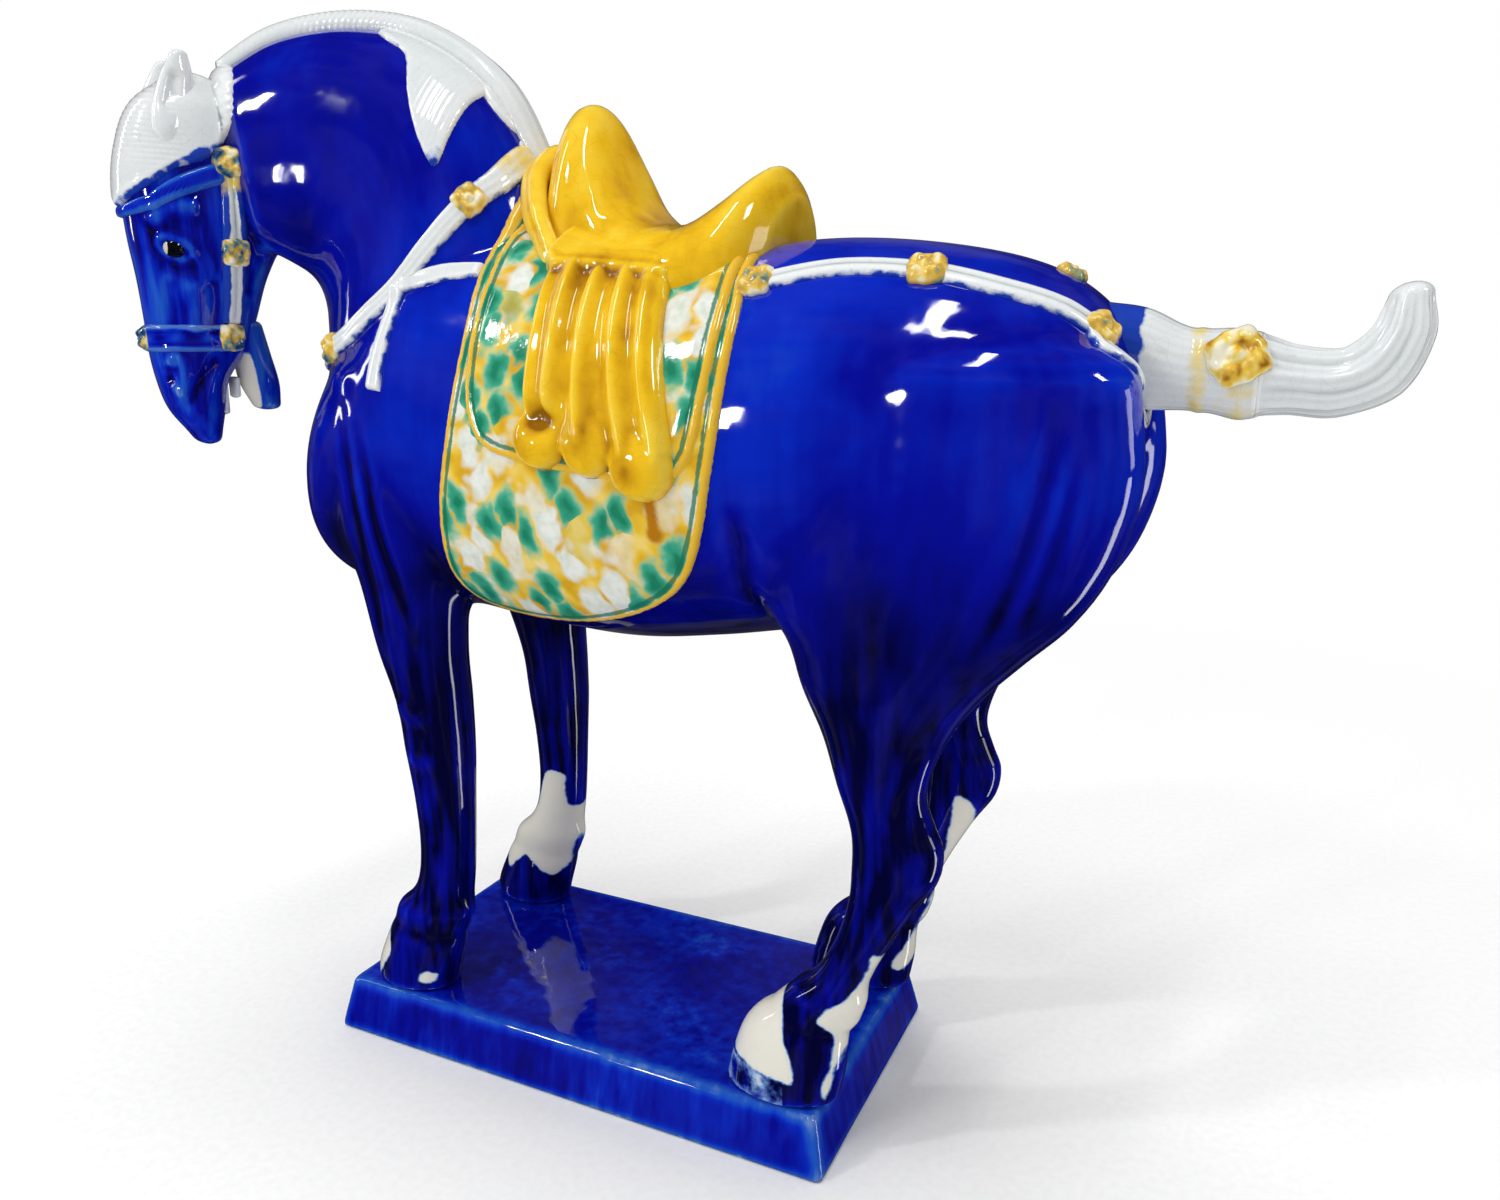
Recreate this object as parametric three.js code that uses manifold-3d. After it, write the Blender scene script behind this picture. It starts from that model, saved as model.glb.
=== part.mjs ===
// Glazed ceramic horse on a slab plinth, built as the moulded and luted pieces of the real casting.
// Millimetres, +Z up. The horse faces -X, its left flank is -Y, and z = 0 is the plinth's underside.
import * as THREE from 'three';
import { mergeVertices } from 'three/addons/utils/BufferGeometryUtils.js';
import Module from 'manifold-3d';

const wasm = await Module();
wasm.setup();

// Plinth
const plinthLength = 260;
const plinthWidth = 135;
const plinthThickness = 26.5;
const plinthFlare = 5;
const plinthEdgeRound = 1.6;

// Clearance between neighbouring pieces, where slip would lute them together
const seam = 0.3;

// Trunk, in heights above the plinth's top
const barrelHalfWidth = 75;
const chestHalfWidth = 66;
const rumpHalfWidth = 71;
const chestReach = 165;
const rumpReach = 229;
const bellyRise = 187;
const backRise = 358;
const croupRise = 363;
const withersRise = 379;

// Stance
const foreStance = -75;
const hindStance = 143;
const legSpread = 50;

// Head, measured from the poll
const headTurnDegrees = 65;
const pollX = -195;
const pollY = -42;
const eyeRadius = 5.5;
const earLength = 38;

// Harness and hair lying on the skin
const strapThickness = 2;
const bridleThickness = 1.5;
const breastStrapWidth = 8;
const crupperWidth = 7.5;
const strapEndWidth = 7;
const bridleWidth = 6;
const nosebandWidth = 12;
const forelockThickness = 3.2;
const lockThickness = 1.7;
const maneHeight = 9;
const maneHalfWidth = 6.5;
const medallionRadius = 6.5;
const bridleMedallionRadius = 5.5;
const medallionHeight = 3;
const tailRosetteRadius = 9;

// Saddlery, layer upon layer
const lowerBlanketThickness = 2.7;
const upperBlanketThickness = 2;
const coverThickness = 3;
const padThickness = 6;
const padHalfWidth = 8.5;
const foldDepth = 8;
const pommelRise = 424;
const seatRise = 370;
const cantleRise = 391;

const deck = plinthThickness;
const left = new THREE.Vector3(0, -1, 0);
const up = new THREE.Vector3(0, 0, 1);

const vector = (x, y, z) => new THREE.Vector3(x, y, z);

// One cross-section of a loft: a centre, the vectors to its two ends, and its half width sideways
function section(near, far, lateral, halfWidth, power = 2, belly = 0.5) {
  const centre = near.clone().lerp(far, belly);
  return {
    centre,
    near: near.clone().sub(centre),
    far: far.clone().sub(centre),
    side: lateral.clone().normalize().multiplyScalar(halfWidth),
    power,
  };
}

function sectionRing(centre, near, far, side, power, sides) {
  const ring = [];
  for (let i = 0; i < sides; i++) {
    const angle = (2 * Math.PI * i) / sides;
    const c = Math.cos(angle);
    const s = Math.sin(angle);
    const along = Math.sign(c) * Math.abs(c) ** (2 / power);
    const across = Math.sign(s) * Math.abs(s) ** (2 / power);
    const end = along >= 0 ? near : far;
    const point = centre.clone().addScaledVector(end, Math.abs(along));
    ring.push(point.addScaledVector(side, across));
  }
  return ring;
}

// Closed skin over rings of points, fanned shut at both ends
function skinOver(rings) {
  const sides = rings[0].length;
  const points = rings.flat();
  const faces = [];
  for (let r = 0; r + 1 < rings.length; r++) {
    for (let i = 0; i < sides; i++) {
      const a = r * sides + i;
      const b = r * sides + ((i + 1) % sides);
      faces.push(a, b, a + sides, b, b + sides, a + sides);
    }
  }
  const middle = (ring) => ring.reduce((sum, p) => sum.add(p), vector(0, 0, 0)).divideScalar(sides);
  const first = points.push(middle(rings[0])) - 1;
  const last = points.push(middle(rings[rings.length - 1])) - 1;
  const base = (rings.length - 1) * sides;
  for (let i = 0; i < sides; i++) {
    faces.push(first, (i + 1) % sides, i, last, base + i, base + ((i + 1) % sides));
  }
  const geometry = new THREE.BufferGeometry();
  geometry.setAttribute('position', new THREE.Float32BufferAttribute(points.flatMap((p) => p.toArray()), 3));
  geometry.setIndex(faces);
  return facingOut(geometry);
}

function facingOut(geometry) {
  const p = geometry.attributes.position;
  const index = geometry.index.array;
  const corner = [vector(), vector(), vector()];
  let volume = 0;
  for (let t = 0; t < index.length; t += 3) {
    corner.forEach((v, k) => v.fromBufferAttribute(p, index[t + k]));
    volume += corner[0].dot(corner[1].clone().cross(corner[2]));
  }
  if (volume < 0) {
    for (let t = 0; t < index.length; t += 3) {
      const swap = index[t];
      index[t] = index[t + 1];
      index[t + 1] = swap;
    }
  }
  return geometry;
}

// Smooth loft through sections, with a dome of the given height on each end
function loft(sections, { steps = 3, sides = 24, startDome = 0, endDome = 0 } = {}) {
  const curveOf = (key) => new THREE.CatmullRomCurve3(sections.map((s) => s[key]));
  const centres = curveOf('centre');
  const nears = curveOf('near');
  const fars = curveOf('far');
  const laterals = curveOf('side');
  const powers = new THREE.CatmullRomCurve3(sections.map((s, i) => vector(i, s.power, 0)));
  const count = (sections.length - 1) * steps;
  const ringAt = (t, scale, shift) => sectionRing(
    centres.getPoint(t).add(shift),
    nears.getPoint(t).multiplyScalar(scale),
    fars.getPoint(t).multiplyScalar(scale),
    laterals.getPoint(t).multiplyScalar(scale),
    powers.getPoint(t).y,
    sides,
  );
  const dome = (t, height) => {
    const away = centres.getTangent(t).multiplyScalar(t === 0 ? -height : height);
    return [0.55, 1.15].map((angle) => (
      ringAt(t, Math.cos(angle), away.clone().multiplyScalar(Math.sin(angle)))
    ));
  };
  const rings = [];
  if (startDome) rings.push(...dome(0, startDome).reverse());
  for (let i = 0; i <= count; i++) rings.push(ringAt(i / count, 1, vector(0, 0, 0)));
  if (endDome) rings.push(...dome(1, endDome));
  return skinOver(rings);
}

// The same skin moved out along its normals
function swollen(geometry, distance) {
  const copy = geometry.clone();
  copy.computeVertexNormals();
  const p = copy.attributes.position;
  const n = copy.attributes.normal;
  for (let i = 0; i < p.count; i++) {
    p.setXYZ(
      i,
      p.getX(i) + n.getX(i) * distance,
      p.getY(i) + n.getY(i) * distance,
      p.getZ(i) + n.getZ(i) * distance,
    );
  }
  copy.deleteAttribute('normal');
  return copy;
}

function solidOf(geometry) {
  const bare = geometry.clone();
  bare.deleteAttribute('normal');
  bare.deleteAttribute('uv');
  const welded = mergeVertices(bare, 1e-4);
  return new wasm.Manifold(new wasm.Mesh({
    numProp: 3,
    vertProperties: Float32Array.from(welded.attributes.position.array),
    triVerts: Uint32Array.from(welded.index.array),
  }));
}

function largestOf(solid) {
  return solid.decompose().reduce((best, piece) => (piece.volume() > best.volume() ? piece : best));
}

function geometryOf(solid) {
  const mesh = solid.getMesh();
  const geometry = new THREE.BufferGeometry();
  const points = new Float32Array(mesh.numVert * 3);
  for (let i = 0; i < mesh.numVert; i++) {
    points.set(mesh.vertProperties.subarray(i * mesh.numProp, i * mesh.numProp + 3), i * 3);
  }
  geometry.setAttribute('position', new THREE.BufferAttribute(points, 3));
  geometry.setIndex(new THREE.BufferAttribute(Uint32Array.from(mesh.triVerts), 1));
  return geometry;
}

const glaze = (color) => () => new THREE.MeshStandardMaterial({ color, roughness: 0.12, metalness: 0 });
const cobalt = glaze(0x14209a);
const cream = glaze(0xe9e2cc);
const amber = glaze(0xd9930f);
const mottled = glaze(0x8fb98a);

const horse = new THREE.Group();

function place(name, solid, material) {
  const mesh = new THREE.Mesh(geometryOf(largestOf(solid)), material());
  mesh.name = name;
  horse.add(mesh);
  return solid;
}

// Trunk: sections across X, each with its top, bottom and half width
function trunkSkin() {
  const across = (x, top, bottom, halfWidth, power = 2.15) => section(
    vector(x, 0, deck + top),
    vector(x, 0, deck + bottom),
    left,
    halfWidth,
    power,
    0.53,
  );
  return loft([
    across(-chestReach, 275, 222, 24, 2),
    across(-chestReach + 8, 294, 209, 41),
    across(-chestReach + 26, 319, 200, chestHalfWidth - 9),
    across(-chestReach + 54, 352, 195, chestHalfWidth),
    across(-chestReach + 88, withersRise - 4, 194, chestHalfWidth + 5),
    across(-30, backRise + 12, bellyRise + 2, barrelHalfWidth - 1),
    across(20, backRise, bellyRise, barrelHalfWidth),
    across(62, backRise, bellyRise + 5, barrelHalfWidth - 1),
    across(100, croupRise, bellyRise + 12, rumpHalfWidth + 2),
    across(138, croupRise - 1, bellyRise + 18, rumpHalfWidth),
    across(rumpReach - 52, croupRise - 7, bellyRise + 26, rumpHalfWidth - 4),
    across(rumpReach - 26, croupRise - 16, bellyRise + 42, rumpHalfWidth - 13),
    across(rumpReach - 9, croupRise - 29, bellyRise + 66, 43),
    across(rumpReach, croupRise - 44, bellyRise + 92, 24, 2),
  ], { steps: 2, sides: 18, startDome: 5, endDome: 5 });
}

// The neck fans about the throat and swings to the horse's left; the head hangs from its poll
const headTurn = THREE.MathUtils.degToRad(headTurnDegrees);
const headOrigin = vector(pollX, pollY, 0);
const headForward = vector(-Math.cos(headTurn), -Math.sin(headTurn), 0);
const headLeft = vector(Math.sin(headTurn), -Math.cos(headTurn), 0);

const leftOf = (degrees) => {
  const turn = THREE.MathUtils.degToRad(degrees);
  return vector(Math.sin(turn), -Math.cos(turn), 0);
};

const neckStations = [
  { crest: vector(-22, 0, 366), throat: vector(-142, 0, 240), turn: 0, half: 58 },
  { crest: vector(-36, 0, 398), throat: vector(-151, -2, 290), turn: 0, half: 55 },
  { crest: vector(-60, 0, 434), throat: vector(-149, -9, 321), turn: 5, half: 47 },
  { crest: vector(-98, -3, 458), throat: vector(-150, -18, 340), turn: 15, half: 40 },
  { crest: vector(-138, -10, 466), throat: vector(-153, -28, 352), turn: 28, half: 35 },
  { crest: vector(-172, -24, 461), throat: vector(-161, -37, 360), turn: 42, half: 31 },
  { crest: vector(-193, -40, 446), throat: vector(-172, -45, 367), turn: 55, half: 26 },
];

function neckSkin() {
  const onDeck = (p) => vector(p.x, p.y, p.z + deck);
  return loft(neckStations.map((s) => (
    section(onDeck(s.crest), onDeck(s.throat), leftOf(s.turn), s.half, 2.1, 0.52)
  )), { steps: 2, sides: 16, endDome: 5 });
}

const headPoint = (forward, rise, sideways = 0) => headOrigin.clone()
  .addScaledVector(headForward, forward)
  .addScaledVector(headLeft, sideways)
  .add(vector(0, 0, deck + rise));

function headSkin() {
  const level = (rise, face, jaw, half, power = 2.1) => section(
    headPoint(face, rise),
    headPoint(jaw, rise),
    headLeft,
    half,
    power,
    0.5,
  );
  return loft([
    level(437, 22, 2, 12, 2),
    level(426, 35, -14, 20),
    level(409, 42, -24, 25),
    level(391, 45, -27, 28),
    level(371, 44.5, -24, 28),
    level(351, 42.5, -15, 24),
    level(333, 41.5, -9, 20),
    level(318, 41, -3, 19),
    level(304, 39, 7, 18.5),
    level(290, 35, 10, 17),
    level(277, 26, 13, 13, 2),
  ], { steps: 1, sides: 16, startDome: 4, endDome: 5 });
}

function jawSkin() {
  const level = (rise, face, jaw, half) => section(
    headPoint(face, rise),
    headPoint(jaw, rise),
    headLeft,
    half,
    2.1,
  );
  return loft([
    level(330, 4, -11, 12),
    level(316, 3, -14, 12.5),
    level(302, 1, -17, 12),
    level(291, -4, -17, 9.5),
  ], { steps: 2, sides: 12, startDome: 3, endDome: 3 });
}

// Legs: level sections, each from its front to its rear, on one side of the horse
function legSkin(stations, side) {
  return loft(stations.map(([rise, fore, hind, outward, half, power = 2]) => section(
    vector(fore, side * outward, deck + rise),
    vector(hind, side * outward, deck + rise),
    left,
    half,
    power,
  )), { steps: 1, sides: 12 });
}

const foreLeg = (x) => foreStance + x;
const hindLeg = (x) => hindStance + x;

const foreStations = [
  [300, foreLeg(-58), foreLeg(18), legSpread - 14, 30],
  [244, foreLeg(-54), foreLeg(22), legSpread - 9, 30],
  [210, foreLeg(-39), foreLeg(16), legSpread - 3, 23],
  [180, foreLeg(-29), foreLeg(15), legSpread, 20],
  [154, foreLeg(-20), foreLeg(16), legSpread, 18],
  [129, foreLeg(-17), foreLeg(16.5), legSpread, 16.5],
  [104, foreLeg(-14), foreLeg(15.5), legSpread, 14.5],
  [78, foreLeg(-13), foreLeg(14), legSpread, 13.5],
  [58, foreLeg(-17), foreLeg(12), legSpread, 14],
  [41, foreLeg(-31), foreLeg(9), legSpread, 15],
  [23, foreLeg(-40), foreLeg(5), legSpread, 16],
  [9, foreLeg(-46), foreLeg(1), legSpread, 16.5],
  [seam, foreLeg(-47), foreLeg(-1), legSpread, 16.5],
];

const hindStations = [
  [304, hindLeg(-40), hindLeg(93), legSpread - 14, 33],
  [272, hindLeg(-44), hindLeg(96), legSpread - 12, 34],
  [243, hindLeg(-51), hindLeg(89), legSpread - 10, 33],
  [221, hindLeg(-48), hindLeg(76), legSpread - 8, 30],
  [204, hindLeg(-36), hindLeg(59), legSpread - 6, 27],
  [187, hindLeg(-29), hindLeg(43), legSpread - 4, 24],
  [168, hindLeg(-19), hindLeg(31), legSpread - 2, 19],
  [148, hindLeg(-12), hindLeg(25), legSpread, 14.5],
  [134, hindLeg(-7), hindLeg(29), legSpread, 13.5],
  [124, hindLeg(-5), hindLeg(33), legSpread, 13.5],
  [111, hindLeg(-5), hindLeg(31), legSpread, 13],
  [97, hindLeg(-6), hindLeg(22), legSpread, 12],
  [79, hindLeg(-11), hindLeg(12), legSpread, 12],
  [62, hindLeg(-20), hindLeg(4), legSpread, 13],
  [49, hindLeg(-34), hindLeg(-1), legSpread, 14],
  [33, hindLeg(-51), hindLeg(-5), legSpread, 15.5],
  [17, hindLeg(-58), hindLeg(-6), legSpread, 16.5],
  [seam, hindLeg(-62), hindLeg(-9), legSpread, 17],
];

// Tail: a dock and knot, then a plume that curls up to its tip
function tailSkin() {
  const ring = (behind, rise, tilt, half, side) => {
    const lean = vector(-Math.sin(tilt), 0, Math.cos(tilt));
    const centre = vector(rumpReach + behind, 0, deck + rise);
    return section(
      centre.clone().addScaledVector(lean, half),
      centre.clone().addScaledVector(lean, -half),
      left,
      side,
    );
  };
  return loft([
    ring(-14, 318, 0, 19, 17),
    ring(3, 315.5, 0, 18.5, 16),
    ring(19, 312, 0, 15, 14.5),
    ring(37, 311, 0, 15.5, 15),
    ring(52, 309, 0, 12, 13),
    ring(67, 308, 0.2, 11.5, 13),
    ring(79, 313, 0.8, 11.5, 12),
    ring(86, 325, 1.35, 9.5, 10.5),
    ring(87, 337, 1.7, 7, 8),
  ], { steps: 1, sides: 12, endDome: 5 });
}

function plinthSkin() {
  const corner = (length, width, z) => {
    const x = length / 2;
    const y = width / 2;
    const cut = plinthEdgeRound * 2;
    return [[x, y - cut], [x - cut, y], [-x + cut, y], [-x, y - cut], [-x, -y + cut], [-x + cut, -y],
      [x - cut, -y], [x, -y + cut]].map(([px, py]) => vector(px, py, z));
  };
  const grow = 2 * plinthFlare;
  return skinOver([
    corner(plinthLength + grow, plinthWidth + grow, 0),
    corner(plinthLength, plinthWidth, plinthThickness - plinthEdgeRound),
    corner(plinthLength - 2 * plinthEdgeRound, plinthWidth - 2 * plinthEdgeRound, plinthThickness),
  ]);
}

// Every moulded form of the bare horse, and the same forms moved out to carry a layer
const forms = [
  trunkSkin(),
  neckSkin(),
  headSkin(),
  jawSkin(),
  legSkin(foreStations, -1),
  legSkin(foreStations, 1),
  legSkin(hindStations, -1),
  legSkin(hindStations, 1),
  tailSkin(),
];
const [trunkForm, neckForm, headForm, jawForm, foreLeftForm, foreRightForm, hindLeftForm, hindRightForm,
  tailForm] = forms;
const together = (solids) => solids.reduce((sum, one) => sum.add(one));
const bodies = new Map();

function bodyAt(level) {
  const key = level.toFixed(3);
  if (!bodies.has(key)) bodies.set(key, together(forms.map((form) => solidOf(swollen(form, level)))));
  return bodies.get(key);
}

// Closed smooth outline through points
function smooth(points, perSpan = 2) {
  const curve = new THREE.CatmullRomCurve3(points.map(([x, y]) => vector(x, y, 0)), true);
  return curve.getPoints(points.length * perSpan).slice(0, -1).map((p) => [p.x, p.y]);
}

// Band of even width along a smooth path
function ribbon(points, width, perSpan = 2) {
  const curve = new THREE.CatmullRomCurve3(points.map(([x, y]) => vector(x, y, 0)));
  const count = (points.length - 1) * perSpan;
  const sides = [[], []];
  for (let i = 0; i <= count; i++) {
    const p = curve.getPoint(i / count);
    const t = curve.getTangent(i / count);
    sides[0].push([p.x - (t.y * width) / 2, p.y + (t.x * width) / 2]);
    sides[1].push([p.x + (t.y * width) / 2, p.y - (t.x * width) / 2]);
  }
  return [...sides[0], ...sides[1].reverse()];
}

// The same closed outline moved outward by a distance
function spread(outline, distance) {
  const count = outline.length;
  const area = outline.reduce((sum, [x, y], i) => {
    const [nextX, nextY] = outline[(i + 1) % count];
    return sum + x * nextY - nextX * y;
  }, 0);
  return outline.map(([x, y], i) => {
    const before = outline[(i + count - 1) % count];
    const after = outline[(i + 1) % count];
    const alongX = after[0] - before[0];
    const alongY = after[1] - before[1];
    const shift = (Math.sign(area) * distance) / Math.hypot(alongX, alongY);
    return [x + alongY * shift, y - alongX * shift];
  });
}

// How far the blocks that cut a layer stand out, from the middle of the horse and of its head
const reach = 160;
const headReach = 34;

// Straight block with the given outline, standing across the horse from its middle plane
function block(outline, matrix, from, to) {
  const shape = new THREE.Shape(outline.map(([x, y]) => new THREE.Vector2(x, y)));
  const geometry = new THREE.ExtrudeGeometry(shape, { depth: to - from, bevelEnabled: false });
  geometry.translate(0, 0, from);
  geometry.applyMatrix4(matrix);
  return solidOf(geometry);
}

const sideFrame = new THREE.Matrix4()
  .makeBasis(vector(1, 0, 0), vector(0, 0, 1), vector(0, -1, 0))
  .setPosition(0, 0, deck);
const headFrame = new THREE.Matrix4()
  .makeBasis(headForward, up, headLeft.clone().negate())
  .setPosition(headOrigin.x, headOrigin.y, deck);
const rearFrame = new THREE.Matrix4()
  .makeBasis(vector(0, 1, 0), vector(0, 0, 1), vector(1, 0, 0))
  .setPosition(0, 0, deck);

const bothSides = (outline) => block(outline, sideFrame, -reach, reach);
const leftSide = (outline) => block(outline, sideFrame, 0, reach);
const rightSide = (outline) => block(outline, sideFrame, -reach, 0);
const acrossHead = (outline) => block(outline, headFrame, -headReach, headReach);
const headLeftSide = (outline) => block(outline, headFrame, -headReach, 0);
const headRightSide = (outline) => block(outline, headFrame, 0, headReach);

// Layer of the given thickness lying on the skin at a level, inside a block
const layer = (level, thickness, within) => (
  bodyAt(level + thickness).subtract(bodyAt(level)).intersect(within)
);

// Bare horse, parted at its luting seams
const neckSeamLow = vector(-155, 0, deck + 300);
const neckSeamHigh = vector(-40, 0, deck + 385);
const neckSeamNormal = left.clone().cross(neckSeamHigh.clone().sub(neckSeamLow)).normalize();
const pollSeamLow = headPoint(-24, 362);
const pollSeamHigh = headPoint(-14, 440);
const pollSeamNormal = headLeft.clone().cross(pollSeamHigh.clone().sub(pollSeamLow)).normalize();
const legSeamRise = bellyRise - 2;

function parted(solid, normal, through, keepAhead) {
  const sign = keepAhead ? 1 : -1;
  const offset = normal.dot(through) * sign + seam / 2;
  return solid.trimByPlane(normal.clone().multiplyScalar(sign).toArray(), offset);
}

const bare = bodyAt(0);
const aboveLegs = vector(0, 0, deck + legSeamRise);
const legForms = [foreLeftForm, foreRightForm, hindLeftForm, hindRightForm];
const torso = together([trunkForm, neckForm, ...legForms].map(solidOf));
const trunk = parted(parted(torso, neckSeamNormal, neckSeamLow, false), up, aboveLegs, true);
const neckAndHead = together([trunkForm, neckForm, headForm].map(solidOf));
const aboveWithers = parted(neckAndHead, neckSeamNormal, neckSeamLow, true);

const eyeAt = (side) => headPoint(29.5, 364, side * 20.5);
const nostrilAt = (side) => headPoint(35.5, 305, side * 15.5);
const nostrilRadius = 3.4;
const ball = (radius, centre, stretch = [1, 1, 1]) => {
  const geometry = new THREE.SphereGeometry(radius, 10, 8);
  geometry.scale(...stretch);
  geometry.rotateZ(headTurn);
  geometry.translate(centre.x, centre.y, centre.z);
  return solidOf(geometry);
};

function headPiece() {
  const cuts = [1, -1].flatMap((side) => [
    ball(eyeRadius + seam, eyeAt(side)),
    ball(nostrilRadius, nostrilAt(side), [1, 1, 1.5]),
  ]);
  return parted(aboveWithers, pollSeamNormal, pollSeamLow, true).subtract(together(cuts));
}

const jawSolid = () => solidOf(jawForm).subtract(solidOf(swollen(headForm, seam)));

function teeth(face, jaw, top, bottom, half) {
  const row = loft([
    section(headPoint(face, top), headPoint(jaw, top), headLeft, half),
    section(headPoint(face, bottom), headPoint(jaw, bottom), headLeft, half - 1),
  ], { steps: 2, sides: 12, startDome: 1, endDome: 1.5 });
  return solidOf(row).subtract(solidOf(swollen(headForm, seam))).subtract(solidOf(swollen(jawForm, seam)));
}

const leg = (form) => parted(solidOf(form), up, aboveLegs, false);

// Tail, parted behind the knot
const knotEnd = vector(rumpReach + 44, 0, 0);
const back = vector(1, 0, 0);
const tailSolid = solidOf(tailForm).subtract(together(
  [trunkForm, hindLeftForm, hindRightForm].map((form) => solidOf(swollen(form, seam))),
));

// Where a line from outside meets the bare horse
const bareMesh = new THREE.Mesh(geometryOf(bare), new THREE.MeshBasicMaterial());
const caster = new THREE.Raycaster();

function touch(origin, direction) {
  caster.set(origin, direction);
  const [hit] = caster.intersectObject(bareMesh);
  return { point: hit.point, normal: hit.face.normal.clone() };
}

const onFlank = (x, rise, side) => touch(vector(x, -side * reach, deck + rise), vector(0, side, 0));
const onCheek = (forward, rise, side) => touch(
  headPoint(forward, rise, side * 2 * headReach),
  headLeft.clone().multiplyScalar(-side),
);

// Mane: a roll along the crest, and hair that lies on the neck
function maneSkin() {
  return loft(neckStations.slice(1).map((s) => {
    const crest = vector(s.crest.x, s.crest.y, s.crest.z + deck);
    const outward = s.crest.clone().sub(s.throat).normalize();
    return section(
      crest.clone().addScaledVector(outward, maneHeight),
      crest.clone().addScaledVector(outward, -5),
      leftOf(s.turn),
      maneHalfWidth,
    );
  }), { steps: 2, sides: 10, startDome: 3, endDome: 3 });
}

const maneForm = maneSkin();
const maneCrest = solidOf(maneForm).subtract(bodyAt(seam));
const besideMane = (solid) => solid.subtract(solidOf(swollen(maneForm, seam)));
const lockOutline = [[-112, 474], [-106, 458], [-92, 448], [-83, 427], [-74, 408], [-65, 396],
  [-62.5, 411], [-62.5, 430], [-66, 452]];
const withersOutline = [[-61, 452], [-61.5, 436], [-53, 421], [-45, 405], [-37, 394], [-26, 398],
  [-40, 432]];

// Saddlery
const coverLevel = seam + lowerBlanketThickness + seam + upperBlanketThickness + seam;
const saddleLevel = coverLevel + coverThickness + seam;
const lowerBlanketOutline = [[-34, 430], [-38, 392], [-39, 361], [-35, 323], [-40, 286], [-49, 250],
  [-55, 220], [-46, 205], [-20, 200], [12, 202], [42, 210], [66, 224], [79, 244], [86, 271],
  [90, 301], [91, 330], [88, 360], [84, 430]];
const upperBlanketOutline = [[-28, 430], [-33, 392], [-34, 372], [-30, 345], [-29, 318], [-27, 294],
  [-18, 279], [4, 273], [34, 269], [62, 267], [78, 276], [84, 300], [86, 330], [83, 360], [79, 430]];
const coverOutline = [[-6, 354], [-3, 343], [2, 335], [6, 288], [30, 281], [58, 275], [52, 340],
  [58, 347], [72, 351], [85, 355], [89, 362], [89, 420], [-6, 420]];
const padPath = [[-30, 0, 402], [-30, -10, 398], [-28, -20, 389], [-20, -31, 374], [-9, -39, 361],
  [-2, -44, 353]];
const padHubX = 10;
const padHubRise = 330;
const saddleFloorRise = 300;
const saddleWidestRise = 343;

function foldForm(x, rise, drop, lean, halfWidth) {
  const stops = [0, 0.25, 0.5, 0.75, 1];
  return (side) => loft(stops.map((t) => {
    const { point, normal } = onFlank(x + lean * t, rise - drop * t, side);
    const bulge = foldDepth * (0.8 + 0.25 * t);
    return section(
      point.clone().addScaledVector(normal, coverLevel + bulge),
      point.clone().addScaledVector(normal, coverLevel - 3),
      vector(1, 0, 0),
      halfWidth * (0.74 + 0.26 * t),
      2.3,
    );
  }), { steps: 1, sides: 8, startDome: 2, endDome: 4 });
}

const folds = [
  foldForm(7, 338, 57, 5, 10.2),
  foldForm(20, 338, 59, 12, 10.2),
  foldForm(34, 338, 64, 13, 8.8),
  foldForm(46, 338, 67, 11, 7.8),
];

function saddleCover() {
  const cloth = layer(coverLevel, coverThickness, bothSides(coverOutline));
  const hanging = [1, -1].flatMap((side) => folds.map((fold) => solidOf(fold(side))));
  return cloth.add(together(hanging).subtract(bodyAt(coverLevel)));
}

// Saddle: sections across X from the pommel's front to the back of the cantle
function saddleSkin() {
  const across = (x, top, half, power = 2) => section(
    vector(x, 0, deck + top),
    vector(x, 0, deck + saddleFloorRise),
    left,
    half,
    power,
    (top - saddleWidestRise) / (top - saddleFloorRise),
  );
  return loft([
    across(-21, pommelRise - 26, 24),
    across(-17, pommelRise - 7, 31),
    across(-9, pommelRise, 35),
    across(0, pommelRise - 4, 36),
    across(8, pommelRise - 20, 38, 2.1),
    across(16, seatRise + 15, 42, 2.2),
    across(28, seatRise + 3, 48, 2.3),
    across(42, seatRise, 52, 2.4),
    across(56, seatRise + 3, 53, 2.4),
    across(68, cantleRise - 9, 51, 2.2),
    across(77, cantleRise, 47),
    across(83, cantleRise - 1, 40),
    across(87, cantleRise - 10, 31),
  ], { steps: 1, sides: 20, startDome: 2, endDome: 2 });
}

// Padded roll that arches over the withers ahead of the saddle
function padSkin() {
  const half = padPath.map(([x, y, rise]) => vector(x, y, deck + rise));
  const centres = [...half.slice(1).reverse().map((p) => vector(p.x, -p.y, p.z)), ...half];
  const hub = vector(padHubX, 0, deck + padHubRise);
  return loft(centres.map((centre) => {
    const outward = centre.clone().sub(hub).normalize();
    const along = back.clone().addScaledVector(outward, -outward.x).normalize();
    return section(
      centre.clone().addScaledVector(outward, padThickness),
      centre.clone().addScaledVector(outward, -padThickness),
      along,
      padHalfWidth,
    );
  }), { steps: 2, sides: 10, startDome: 3, endDome: 3 });
}

const padForm = padSkin();
const besidePad = (solid) => solid.subtract(solidOf(swollen(padForm, seam)));

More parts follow.
